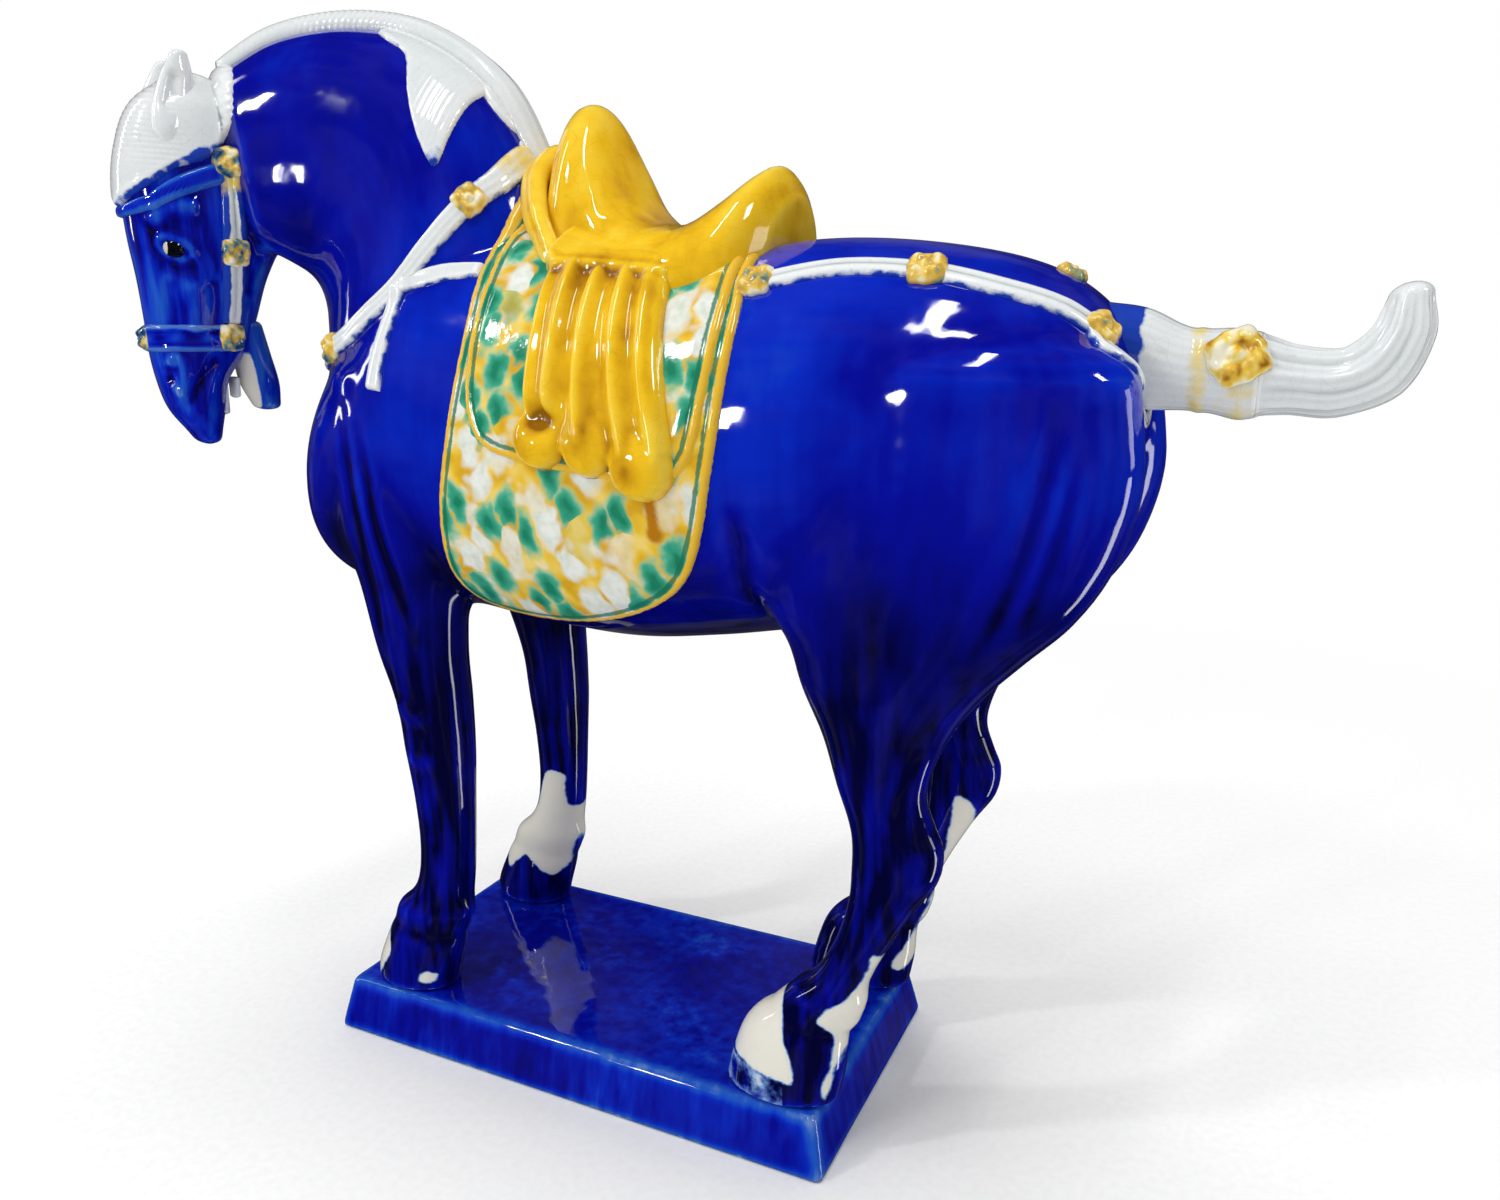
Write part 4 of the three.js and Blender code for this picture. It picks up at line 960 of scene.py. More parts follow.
def layered(name, nodes, slot, material, outline, ray, height, pitch=1.3, sink=1.5, extra=None, soften=2,
            pool_scale=0.06):
    chart_points, triangles, border = filled(np.asarray(outline, float), pitch)
    points, faces, skin, count = shell(chart_points, triangles, border, ray, height, sink)
    points = softened(points, faces, soften)
    attributes = {"pool": net_pool(points, faces, count, scale=pool_scale)}
    for key, rule in (extra or {}).items():
        values = rule(chart_points, skin)
        attributes[key] = np.concatenate([values, values])
    mesh = mesh_of(name, points, faces, np.vstack([chart_points, chart_points]), attributes)
    return piece(mesh, nodes, slot, material)


def rounded(distance, thickness, radius):
    """Height of a layer with a rounded edge"""
    t = np.clip(distance / radius, 0, 1)
    return thickness * np.sqrt(np.clip(1 - (1 - t) ** 2, 0, 1))


def dip(distance, place, width, depth):
    return -depth * np.exp(-0.5 * ((distance - place) / width) ** 2)


# Blankets, saddle cloth and saddle
LOWER_EDGE = [
    (-39, 361), (-35, 323), (-40, 286), (-49, 250), (-55, 220), (-46, 205), (-20, 200), (12, 202), (42, 210),
    (66, 224), (79, 244), (86, 271), (90, 301), (91, 330), (88, 348),
]
UPPER_EDGE = [
    (-34, 366), (-30, 345), (-29, 318), (-27, 294), (-18, 279), (4, 273), (34, 269), (62, 267), (78, 276),
    (84, 300), (86, 330), (84, 350),
]


def blanket_outline(edge, front, rear):
    left = spline(barrel_place(edge), len(edge) * 4)
    right = left[::-1] * (1, -1)
    return np.vstack([[(front, 0)], left, [(rear, 0)], right])


LOWER_OUTLINE = blanket_outline(LOWER_EDGE, -33, 84)
UPPER_OUTLINE = blanket_outline(UPPER_EDGE, -28, 79)
LOWER_LEVEL, UPPER_LEVEL, COVER_LEVEL = 3.0, 5.3, 5.6


def lower_height(chart, skin):
    edge = outline_distance(chart, LOWER_OUTLINE)
    return rounded(edge, LOWER_LEVEL, 2.4) + dip(edge, 4.6, 0.9, 1.0)


def upper_height(chart, skin):
    edge = outline_distance(chart, UPPER_OUTLINE)
    return LOWER_LEVEL - 0.3 + rounded(edge, UPPER_LEVEL - LOWER_LEVEL + 0.3, 2.0) + dip(edge, 4.8, 0.9, 1.1)


def hem_of(outline):
    return {
        "rim": lambda chart, skin: 1 - smooth_step(outline_distance(chart, outline), 2.6, 4.6),
        "line": lambda chart, skin: np.exp(-0.5 * ((outline_distance(chart, outline) - 4.8) / 0.8) ** 2),
    }


DRIP = [(59, 268), (61, 258), (61.5, 249)]


def line_distance(points, path):
    best = np.full(len(points), np.inf)
    path = dense(path, 2.0)
    for a, b in zip(path[:-1], path[1:]):
        run = b - a
        t = np.clip(((points - a) @ run) / max(run @ run, 1e-9), 0, 1)
        best = np.minimum(best, np.linalg.norm(points - a - t[:, None] * run, axis=1))
    return best


def dripped(chart, skin):
    """A run of amber from the cloth onto the left of the blanket, with a bead at its foot"""
    spots = np.stack([skin[:, 0], skin[:, 2] - DECK], axis=1)
    reach = np.minimum(line_distance(spots, DRIP) / 2.6, np.linalg.norm(spots - DRIP[-1], axis=1) / 3.8)
    return (1 - smooth_step(reach, 0.6, 1.3)) * (skin[:, 1] < 0)


layered(
    "lower_blanket", ["lower_blanket"], "mottled_glaze", MOTTLED, LOWER_OUTLINE, barrel_ray,
    lambda chart, skin: lower_height(chart, skin) + 1.2 * dripped(chart, skin),
    extra={**hem_of(LOWER_OUTLINE), "drip": dripped},
)
layered(
    "upper_blanket", ["upper_blanket"], "mottled_glaze", MOTTLED, UPPER_OUTLINE, barrel_ray, upper_height,
    extra=hem_of(UPPER_OUTLINE),
)

# Hanging cloth: crest lines of its folds, and the bulbs that they end in, in X and height
CRESTS = [
    ([(11, 344), (16, 318), (18, 296)], 4.6), ([(25, 340), (30, 310), (34, 284)], 4.4),
    ([(39, 340), (46, 310), (54, 280)], 4.8), ([(49, 346), (55, 322), (63, 294), (68, 278)], 3.2),
]
BULBS = [(12.5, 284, 12.5, 8.0), (35, 281.5, 12, 7.6), (58.5, 275, 13.5, 9.0)]
SHEET_LEFT = ([262, 284, 300, 322, 345], [7, 4, 3, 1.5, -2])
SHEET_RIGHT = ([262, 281, 300, 328, 344, 352], [66, 72, 68, 61, 57, 57])
COVER_EDGE = [
    (-8, 360), (-8, 345), (-4, 330), (-2, 300), (-3, 280), (6, 268), (28, 266), (42, 262), (60, 256), (76, 268),
    (79, 284), (72, 310), (66, 334), (74, 343), (83, 348), (86, 358),
]
COVER_OUTLINE = blanket_outline(COVER_EDGE, -8, 84)


def cover_height(chart, skin):
    spots = np.stack([skin[:, 0], skin[:, 2] - DECK], axis=1)
    x, rise = spots.T
    hidden = -5.2
    inset = np.minimum(x - np.interp(rise, *SHEET_LEFT), np.interp(rise, *SHEET_RIGHT) - x)
    inset = np.minimum(inset, rise - np.interp(x, [42, 50], [278, 271]))
    sheet = np.where(inset > 0, rounded(inset, 4.4, 3.5), hidden)
    for path, crown in CRESTS:
        sheet += crown * np.exp(-((line_distance(spots, path) / 3.6) ** 2)) * smooth_step(inset, -0.5, 3)
    total = sheet
    for bulb_x, bulb_rise, radius, crown in BULBS:
        away = np.hypot(x - bulb_x, rise - bulb_rise) / radius
        bulb = np.where(away < 1, crown * np.sqrt(np.clip(1 - away**2.2, 0, 1)), hidden)
        total = np.logaddexp(total * 1.1, bulb * 1.1) / 1.1
    dimple = np.exp(-(((x - 13) + 0.5 * (rise - 291)) / 6.8) ** 2 - ((rise - 291) / 5.0) ** 2)
    total = total - 6.8 * dimple * (skin[:, 1] < 0)
    band_floor = np.interp(x, [-8, 2, 52, 57, 60, 72, 85, 91], [350, 343, 338.5, 339, 349, 351.5, 355, 361])
    band_top = np.interp(x, [-8, 50, 60, 91], [361, 361, 367, 375])
    band = np.minimum(rise - band_floor, np.minimum(band_top - rise, x + 5))
    strip = np.where(band > 0, rounded(band, 8.6 - 3.4 * smooth_step(x, 50, 62) - 3.6 * smooth_step(x, 74, 86), 2.6), hidden)
    strip += dip(rise - band_floor, 3.4, 0.7, 0.7) * (band > 0)
    return COVER_LEVEL + np.maximum(total, strip)


def cover_gathered(chart, skin):
    x, rise = skin[:, 0], skin[:, 2] - DECK
    total = 0.34 * np.exp(-(((x - 14) / 6) ** 2) - ((rise - 289) / 4.5) ** 2)
    total += 0.26 * np.exp(-(((x - 55) / 6.5) ** 2) - ((rise - 273) / 9) ** 2)
    total += 0.1 * np.exp(-(((x - 36) / 6) ** 2) - ((rise - 284) / 7) ** 2)
    return total + 0.05 * smooth_step(rise, 330, 341) * (1 - smooth_step(rise, 343, 349))


layered(
    "saddle_cover", ["saddle_cover"], "amber_glaze", AMBER, COVER_OUTLINE, barrel_ray, cover_height, pitch=0.9,
    soften=3, pool_scale=0.32, extra={"gathered": cover_gathered},
)


def solid_piece(name, nodes, slot, material, forms, voxel, relax=4, carving=(), keep_uv=None, extra=None):
    """A piece built from overlapping forms, joined and softened"""
    skin = Skin(remeshed(*joined(forms), voxel))
    skin.relax(relax)
    skin.tree()
    for path, width, height, fade in carving:
        skin.carve(path, width, height, fade)
    skin.relax(1)
    mesh = skin.mesh
    attributes = {"pool": pooling(skin.hollowness(1))}
    for key, rule in (extra or {}).items():
        attributes[key] = rule(skin.points)
    for key, values in attributes.items():
        mesh.attributes.new(key, "FLOAT", "POINT").data.foreach_set("value", np.asarray(values, np.float32))
    mesh.name = name
    mesh.shade_smooth()
    return piece(mesh, nodes, slot, material)


SADDLE = [
    (-21, 398, 24, 2), (-17, 417, 31, 2), (-9, 424, 35, 2), (0, 420, 36, 2), (8, 404, 38, 2.1), (16, 385, 42, 2.2),
    (28, 373, 48, 2.3), (42, 370, 52, 2.4), (56, 373, 53, 2.4), (68, 382, 51, 2.2), (77, 391, 47, 2),
    (83, 390, 40, 2), (87, 381, 31, 2),
]
saddle_rows = [
    section(
        (x + 0.2 * max(0, x - 66), 0, DECK + top),
        (x - 0.5 * max(0, x - 66), 0, DECK + 300),
        RIGHTWARD,
        half,
        power,
        (top - 343) / (top - 300),
    )
    for x, top, half, power in SADDLE
]
pommel_rim = [(-19, -26, 392), (-19.5, -22, 408), (-17, -12, 420), (-15, 0, 423.5), (-17, 12, 420), (-19.5, 22, 408), (-19, 26, 392)]
cantle_rim = [(72, -46, 372), (80, -34, 386), (82, -18, 391), (83, 0, 392), (82, 18, 391), (80, 34, 386), (72, 46, 372)]
raise_up = np.array([0, 0, DECK])
solid_piece(
    "saddle", ["saddle"], "amber_glaze", AMBER, [loft(saddle_rows, 8, 90, 2, 2)], 1.1, 6,
    [
        (spline(np.array(pommel_rim) + raise_up, 40), 2.2, 1.8, 0.1),
        (spline(np.array(cantle_rim) + raise_up, 40), 2.2, 1.4, 0.1),
    ],
)

# Padded roll: two ridges with a groove between, arching over the withers ahead of the saddle
PAD_PATH = [(-30, 0, 402), (-30, -10, 398), (-28, -20, 389), (-20, -31, 374), (-9, -39, 361), (-2, -44, 353)]


def pad_form():
    half = np.array(PAD_PATH, float) + raise_up
    centres = spline(np.vstack([half[:0:-1] * (1, -1, 1), half]), 90)
    hub = np.array([10, 0, DECK + 330])
    outward = unit(centres - hub)
    along = np.array([1, 0, 0]) - outward * outward[:, :1]
    along = unit(along)
    rings = []
    angle = 2 * np.pi * np.arange(40) / 40
    ridge = 1 - 0.2 * np.exp(-((np.abs(angle - np.pi / 2) / 0.3) ** 2))
    taper = np.sin(np.linspace(0.25, math.pi - 0.25, 90)) ** 0.25
    for centre, out, fore, size in zip(centres, outward, along, taper):
        spoke = fore * (8.5 * np.cos(angle) * size)[:, None] + out * (6.4 * np.sin(angle) * ridge * size)[:, None]
        rings.append(centre + spoke)
    return skin_of(np.array(rings))


solid_piece("saddle_pad", ["saddle_pad"], "amber_glaze", AMBER, [pad_form()], 1.0, 3)


# Straps that follow the skin
def band(guide, width, height, pitch=1.0, across=11, base=None, sink=1.2, closed=False, on=body):
    """Closed strip along a guide of places near the skin; height(along, across) in millimetres"""
    dense = spline(guide, 400, closed)
    steps = np.linalg.norm(np.diff(dense, axis=0), axis=1)
    run = np.concatenate([[0], np.cumsum(steps)])
    count = max(3, int(run[-1] / pitch))
    where = np.linspace(0, run[-1], count)
    line = np.stack([np.interp(where, run, dense[:, k]) for k in range(3)], axis=1)
    hits = [on.snap(p) for p in line]
    line = np.array([h[0] for h in hits])
    normal = np.array([h[1] for h in hits])
    for _ in range(3):
        normal[1:-1] = unit(normal[:-2] + 2 * normal[1:-1] + normal[2:])
        line[1:-1] = (line[:-2] + 2 * line[1:-1] + line[2:]) / 4
    tangent = unit(np.gradient(line, axis=0))
    sideways = unit(np.cross(normal, tangent))
    offsets = np.linspace(-0.5, 0.5, across)
    top, bottom, uv, rim = [], [], [], []
    for k in range(count):
        wide = width(where[k] / run[-1]) if callable(width) else width
        for offset in offsets:
            place, up = on.snap(line[k] + sideways[k] * offset * wide)
            end = min(where[k], run[-1] - where[k])
            lift = height(where[k], offset * wide, wide, end)
            top.append(place + up * lift)
            bottom.append(place - up * sink)
            uv.append((where[k], offset * wide))
            rim.append(abs(offset) * 2)
    return grid_solid(np.array(top), np.array(bottom), count, across, np.array(uv), np.array(rim))


def grid_solid(top, bottom, rows, columns, uv, rim):
    total = rows * columns
    faces = []
    for r in range(rows - 1):
        for c in range(columns - 1):
            a = r * columns + c
            faces.append((a, a + 1, a + columns + 1, a + columns))
            faces.append((total + a, total + a + columns, total + a + columns + 1, total + a + 1))
    for r in range(rows - 1):
        for c in (0, columns - 1):
            a = r * columns + c
            faces.append((a, a + columns, total + a + columns, total + a))
    for c in range(columns - 1):
        for r in (0, rows - 1):
            a = r * columns + c
            faces.append((a, a + 1, total + a + 1, total + a))
    points = np.vstack([top, bottom])
    return points, faces, np.vstack([uv, uv]), np.concatenate([rim, rim])


def strap(name, nodes, slot, material, guide, width, height, attribute="bleed", amount=0.58, inner=0.42, extra=None,
          **settings):
    points, faces, uv, rim = band(guide, width, height, **settings)
    attributes = {
        "pool": net_pool(points, faces, len(points) // 2),
        attribute: smooth_step(rim, inner, 1.0) * amount,
    }
    for key, rule in (extra or {}).items():
        attributes[key] = rule(points)
    return piece(mesh_of(name, points, faces, uv, attributes), nodes, slot, material)


def ribbed(thickness, ribs, depth, knot=0.0):
    """Rounded strap with lengthwise ribs, and a knot at its start"""
    def height(along, offset, wide, end):
        t = abs(offset) / (wide / 2)
        body_height = 0.5 + (thickness - 0.5) * math.sqrt(max(0.0, 1 - t**3.2))
        ends = math.sqrt(max(0.0, 1 - (1 - min(end / 2.2, 1)) ** 2))
        groove = depth * (0.5 + 0.5 * math.cos(2 * math.pi * ribs * (offset / wide + 0.5)))
        return (body_height + knot * math.exp(-((along / 5) ** 2)) - groove * (1 - t)) * ends
    return height


BREAST_TOP = [(-34, -2, 406), (-35, -11, 404), (-38, -20, 398), (-43, -28, 390)]
BREAST_PATH = [(-50, 382), (-64, 363), (-78, 346), (-93, 335), (-109, 325), (-124, 319), (-142, 312)]
chest_front = body.strike((-260, 0, DECK + 306), (1, 0, 0))[0]


def half_guide(first, path, last, side):
    """Guide down one side: free places, then places on the flank, then free places"""
    ends = [[body.snap((x, y * side, DECK + rise))[0] for x, y, rise in spots] for spots in (first, last)]
    return np.array([*ends[0], *body.flank(path, side), *ends[1]])


breast_guide = np.vstack([
    half_guide(BREAST_TOP, BREAST_PATH, [], LEFT), [chest_front], half_guide(BREAST_TOP, BREAST_PATH, [], RIGHT)[::-1],
])
strap(
    "breast_strap", ["breast_strap"], "cream_glaze", CREAM, breast_guide,
    lambda t: 9.5 + 4.5 * math.exp(-((min(t, 1 - t) / 0.09) ** 2)), ribbed(2.6, 3, 0.5),
    extra={"stain": lambda p: 0.55 * smooth_step(p[:, 2], DECK + 388, DECK + 401)},
)
CRUPPER_PATH = [(88, 341), (95, 344), (125, 349), (158, 347), (188, 340), (206, 334), (217, 327)]
CRUPPER_REAR = [(224, -36, 321), (229, -32, 312), (233, -24, 303), (236, -13, 296)]
under_tail = [body.snap((240, 0, DECK + 291))[0]]
crupper_guide = np.vstack([
    half_guide([], CRUPPER_PATH, CRUPPER_REAR, LEFT), under_tail,
    half_guide([], CRUPPER_PATH, CRUPPER_REAR, RIGHT)[::-1],
])
strap(
    "crupper_strap", ["crupper_strap"], "cream_glaze", CREAM, crupper_guide,
    lambda t: 9.6 - 5 * math.exp(-(((t - 0.5) / 0.1) ** 4)), ribbed(2.4, 2, 0.5),
)
for side, name in ((LEFT, "left"), (RIGHT, "right")):
    branch = body.flank([(-76, 345.5), (-67, 348.5), (-56, 351), (-44, 352), (-38, 352)], side)
    strap(
        f"strap_branch_{name}", [f"strap_branch_{name}"], "cream_glaze", CREAM, branch,
        lambda t: 6.5 + 2.5 * math.sin(math.pi * min(t * 0.8, 1)), ribbed(1.9, 1, 0.3, 1.4),
    )
    hanging = body.flank([(-77, 347), (-79, 332), (-82, 316), (-84, 301)], side)
    strap(
        f"strap_end_{name}", [f"strap_end_{name}"], "cream_glaze", CREAM, hanging,
        lambda t: 7.5 + 2 * t, ribbed(2.1, 1, 0.35, 1.2),
    )


# Mane: a combed roll, the hanging lock and the hair at the withers
def mane_guide():
    rows = []
    for crest, throat, turn, _ in NECK[1:]:
        crest, throat = np.array(crest, float), np.array(throat, float)
        rows.append(np.concatenate([crest + raise_up, unit(crest - throat), leftward(turn)]))
    return np.array(rows)


def mane_form():
    rows = spline(mane_guide(), 260)
    centre, outward, lateral = rows[:, :3], unit(rows[:, 3:6]), unit(rows[:, 6:9])
    run = np.concatenate([[0], np.cumsum(np.linalg.norm(np.diff(centre, axis=0), axis=1))])
    angle = 2 * np.pi * np.arange(48) / 48
    rings = []
    for k in range(len(rows)):
        t = k / (len(rows) - 1)
        ends = math.sqrt(max(0.02, math.sin(math.pi * (0.02 + 0.96 * t)))) ** 0.4
        hatched = smooth_step(t, 0.3, 0.6) * (1 - 0.8 * smooth_step(t, 0.66, 0.8))
        comb = 0.18 * hatched * np.cos(2 * np.pi * run[k] / 3.2 + 1.5 * np.sin(angle))
        ridge = 0.2 * (1 - smooth_step(t, 0.25, 0.6)) * np.cos(9 * angle)
        half = 7.4 + 3.4 * (1 - smooth_step(t, 0.05, 0.55))
        across = lateral[k] * ((half + comb + ridge) * np.cos(angle) * ends)[:, None]
        height = outward[k] * ((7.4 + comb + ridge) * np.sin(angle) * ends + 1.6)[:, None]
        rings.append(centre[k] + across + height)
    return skin_of(np.array(rings))


def form_piece(name, nodes, slot, material, form, extra=None, rounds=1, scale=0.06):
    points, faces = form
    attributes = {"pool": net_pool(points, faces, len(points), rounds, scale)}
    for key, rule in (extra or {}).items():
        attributes[key] = rule(points)
    return piece(mesh_of(name, points, faces, None, attributes), nodes, slot, material)


form_piece("mane_crest", ["mane_crest"], "cream_glaze", CREAM, mane_form(), scale=0.3)

CREST = np.array([row[0] for row in NECK[::-1]], float)
CREST_GIRTH = 45


def crest_core(x):
    """Middle of the neck's rounding under the crest, at a place along the horse"""
    y, rise = (np.interp(x, CREST[:, 0], CREST[:, k]) for k in (1, 2))
    return np.stack([x, y, DECK + rise - CREST_GIRTH], axis=-1)


def crest_ray(side):
    def ray(x, turn):
        outward = np.array([0, -side * math.sin(turn / CREST_GIRTH), math.cos(turn / CREST_GIRTH)])
        return crest_core(x) + outward * 120, -outward
    return ray


def crest_outline(path, side, top=3.0):
    """Closed chart outline of hair hanging from the crest, given by its lower edge in X and height"""
    hits = body.flank(path, side, 4)
    away = hits - crest_core(hits[:, 0])
    turn = np.maximum(np.arctan2(-side * away[:, 1], away[:, 2]) * CREST_GIRTH, top + 1)
    return np.vstack([np.stack([hits[:, 0], turn], axis=1), [(hits[-1, 0], top), (hits[0, 0], top)]])


LOCK = [
    (-113, 460), (-106, 456), (-92, 447), (-83, 427), (-74, 408), (-65, 396), (-61.5, 411), (-59.5, 423), (-58, 429),
]
WITHERS = [(-62, 434), (-54, 424), (-46, 414), (-40, 407)]


def combed(outline, thickness, pitch, lean):
    def height(chart, skin):
        edge = outline_distance(chart, outline)
        lines = np.cos(2 * np.pi * (chart[:, 0] + lean * chart[:, 1]) / pitch)
        return rounded(edge, thickness, 1.6) + 0.16 * lines * smooth_step(edge, 0.5, 2)
    return height


for side, name in ((LEFT, "left"), (RIGHT, "right")):
    for label, path, thick in (("lock", LOCK, 1.9), ("withers", WITHERS, 2.2)):
        outline = crest_outline(path, side)
        layered(
            f"mane_{label}_{name}", [f"mane_{label}_{name}"], "cream_glaze", CREAM, outline, crest_ray(side),
            combed(outline, thick, 2.4, 0.1), pitch=0.8, pool_scale=0.25,
            extra={"bleed": lambda chart, skin, o=outline: np.maximum(
                0.6 * (1 - smooth_step(skin[:, 2], DECK + 396, DECK + 412)),
                0.4 * (1 - smooth_step(outline_distance(chart, o), 0.3, 1.8)),
            ) * smooth_step(chart[:, 1], 8, 14)},
        )


# Head: combed cap, ears, eyes, jaw, teeth and bridle
CAP_CORE = head_point(12, 402)
CAP_POLE = unit(HEAD_FORWARD * 0.45 + UP * 0.9)
CAP_SIDE = HEAD_LEFT
CAP_FRONT = np.cross(CAP_SIDE, CAP_POLE)
CAP_RADIUS = 30


def cap_ray(a, b):
    angle = math.hypot(a, b) / CAP_RADIUS
    bearing = math.atan2(b, a)
    outward = CAP_POLE * math.cos(angle) + math.sin(angle) * (
        CAP_SIDE * math.cos(bearing) + CAP_FRONT * math.sin(bearing)
    )
    return CAP_CORE + outward * 80, -outward


def cap_place(point):
    outward = unit(np.asarray(point) - CAP_CORE)
    angle = math.acos(np.clip(outward @ CAP_POLE, -1, 1)) * CAP_RADIUS
    bearing = math.atan2(outward @ CAP_FRONT, outward @ CAP_SIDE)
    return angle * math.cos(bearing), angle * math.sin(bearing)


CAP_EDGE = [(43, 386), (35, 392), (27, 398), (16, 402), (8, 407), (3, 415), (0, 424), (-2, 434), (-4, 441)]
cap_left = [cap_place(p) for p in body.cheek(CAP_EDGE)]
cap_right = [cap_place(p) for p in body.cheek(CAP_EDGE, RIGHT)]
cap_face = cap_place(body.strike(head_point(90, 381), -HEAD_FORWARD)[0])
cap_back = cap_place(body.snap(head_point(-8, 449))[0])
CAP_OUTLINE = spline([cap_face, *cap_left, cap_back, *cap_right[::-1]], 110, closed=True)


def cap_height(chart, skin):
    edge = outline_distance(chart, CAP_OUTLINE)
    spots = skin - POLL
    forward, sideways, rise = spots @ HEAD_FORWARD, spots @ HEAD_LEFT, spots[:, 2]
    lines = np.cos(2 * np.pi * (rise + 0.12 * np.abs(sideways)) / 2.3)
    combing = 0.2 * lines * smooth_step(forward, 16, 30) * smooth_step(edge, 0.5, 2)
    return rounded(edge, 3.6, 3.2) + combing


def cap_bleed(chart, skin):
    """Cobalt creeping up from the browband, furthest behind the eye"""
    behind = 1 - smooth_step((skin - POLL) @ HEAD_FORWARD, 14, 30)
    reach = outline_distance(chart, CAP_OUTLINE) / (3.5 + 6.5 * behind)
    return 0.62 * (1 - smooth_step(reach, 0.3, 1.0)) * (1 - smooth_step(skin[:, 2], DECK + 408, DECK + 417))


layered(
    "forelock", ["forelock"], "cream_glaze", CREAM, CAP_OUTLINE, cap_ray, cap_height, pitch=0.8,
    extra={"bleed": cap_bleed},
)


def ear_form(side):
    rows = [
        (-0.08, 2.6, 5.8, 22.5), (0.02, 4.0, 8.6, 21), (0.18, 5.2, 9.4, 18.5), (0.42, 5.2, 8.9, 15.8),
        (0.7, 4.2, 6.8, 14.9), (0.92, 2.6, 4, 14.2),
    ]
    sections = []
    for t, thick, half, out in rows:
        centre = head_point(25 - 8 * t, 414 + 38 * t, side * out)
        sections.append(section(centre + HEAD_FORWARD * half, centre - HEAD_FORWARD * half, HEAD_LEFT, thick))
    return loft(sections, 8, 40, 2, 2.5)


def jaw_form():
    rows = [
        section(head_point(front, rise), head_point(rear, rise), HEAD_LEFT, half, 2.1)
        for rise, front, rear, half in JAW
    ]
    return loft(rows, 8, 48, 3, 3)


def tooth_row(front, rear, top, bottom, half):
    rows = [
        section(head_point(front, top), head_point(rear, top), HEAD_LEFT, half),
        section(head_point(front, bottom), head_point(rear, bottom), HEAD_LEFT, half - 1),
    ]
    return loft(rows, 6, 48, 1, 1.5)


for side, name in ((LEFT, "left"), (RIGHT, "right")):
    hollow = [head_point(28 - 9 * t, 414 + 38 * t, side * (22 - 3 * t)) for t in (0.2, 0.5, 0.8)]
    solid_piece(
        f"ear_{name}", [f"ear_{name}"], "cream_glaze", CREAM, [ear_form(side)], 0.7, 2,
        [(hollow, 2.4, -2.2, 0.3)],
    )
    centre = head_point(29, 364, side * 20.3)
    ball = bmesh.new()
    bmesh.ops.create_uvsphere(ball, u_segments=40, v_segments=24, radius=5.5)
    spots = np.array([tuple(v.co) for v in ball.verts])
    ball_faces = [tuple(v.index for v in f.verts) for f in ball.faces]
    ball.free()
    spots = spots[:, :1] * HEAD_FORWARD + spots[:, 1:2] * HEAD_LEFT * 0.8 + spots[:, 2:] * UP * 0.85 + centre
    form_piece(
        f"eye_{name}", [f"eye_{name}"], "cream_glaze", EYE_BLACK, (spots, ball_faces),
        # The white value is a painted highlight on the front of the eye
        {"white": lambda p, c=centre: smooth_step((p - c) @ HEAD_FORWARD, 3.6, 4.8)},
    )



def mouth_side(points):
    """1 on the jaw's inner face, where the glaze stays off"""
    forward = (points - POLL) @ HEAD_FORWARD
    middle = np.interp(points[:, 2] - DECK, [291, 330], [-9.5, -2.5])
    return smooth_step(forward - middle, 1.0, 5.0) * (1 - smooth_step(points[:, 2], DECK + 312, DECK + 320))


solid_piece(
    "lower_jaw", ["lower_jaw"], "cobalt_glaze", COBALT, [jaw_form()], 0.8, 3,
    extra={"bare": mouth_side, "thin": lambda p: 1 + 0 * p[:, 0]},
)
form_piece("upper_teeth", ["upper_teeth"], "cream_glaze", CREAM, tooth_row(14, 8, 300, 288, 9))
form_piece("lower_teeth", ["lower_teeth"], "cream_glaze", CREAM, tooth_row(6, 2, 304, 296, 7))


def head_ring(path):
    """Guide around the front of the head, from one cheek to the other"""
    left, right = body.cheek(path), body.cheek(path, RIGHT)
    front = body.strike(head_point(90, path[-1][1] - 3), -HEAD_FORWARD)[0]
    return np.vstack([left, [front], right[::-1]])


brow_guide = head_ring([(7, 398), (16, 395), (27, 390), (37, 383.5)])
strap(
    "browband", ["browband"], "cobalt_glaze", COBALT, brow_guide,
    lambda t: 9.5 - 4.5 * math.exp(-(((t - 0.5) / 0.22) ** 2)), ribbed(2.6, 1, 0.3),
    attribute="bare", amount=0.0,
)
NOSEBAND_ANGLES = np.linspace(-2.2, 2.2, 21)


def nose_guide():
    core = head_point(12, 323.5)
    spots = []
    for angle in NOSEBAND_ANGLES:
        outward = HEAD_FORWARD * math.cos(angle) + HEAD_LEFT * math.sin(angle)
        spots.append(body.strike(core + outward * 36, -outward)[0])
    return np.array(spots)


def noseband_height(along, offset, wide, end):
    t = abs(offset) / (wide / 2)
    rims = 0.5 * math.exp(-(((t - 0.8) / 0.16) ** 2))
    wave = 0.35 * math.cos(2 * math.pi * along / 14)
    return (1.7 * math.sqrt(max(0.0, 1 - t**5)) + rims + wave * (1 - t)) * min(1, end / 2)


strap(
    "noseband", ["noseband"], "cobalt_glaze", COBALT, nose_guide(), 12.5, noseband_height,
    attribute="bare", amount=0.0, across=15,
)
for side, name in ((LEFT, "left"), (RIGHT, "right")):
    guide = body.cheek([(3, 400), (4, 385), (5, 362), (6, 340), (7, 330)], side)
    strap(
        f"cheek_strap_{name}", [f"cheek_strap_{name}"], "cream_glaze", CREAM, guide, 11.0, ribbed(2.1, 2, 0.5),
        amount=1.15, inner=0.0, extra={"stain": lambda p: 0.6 * smooth_step(p[:, 2], DECK + 382, DECK + 396)},
    )


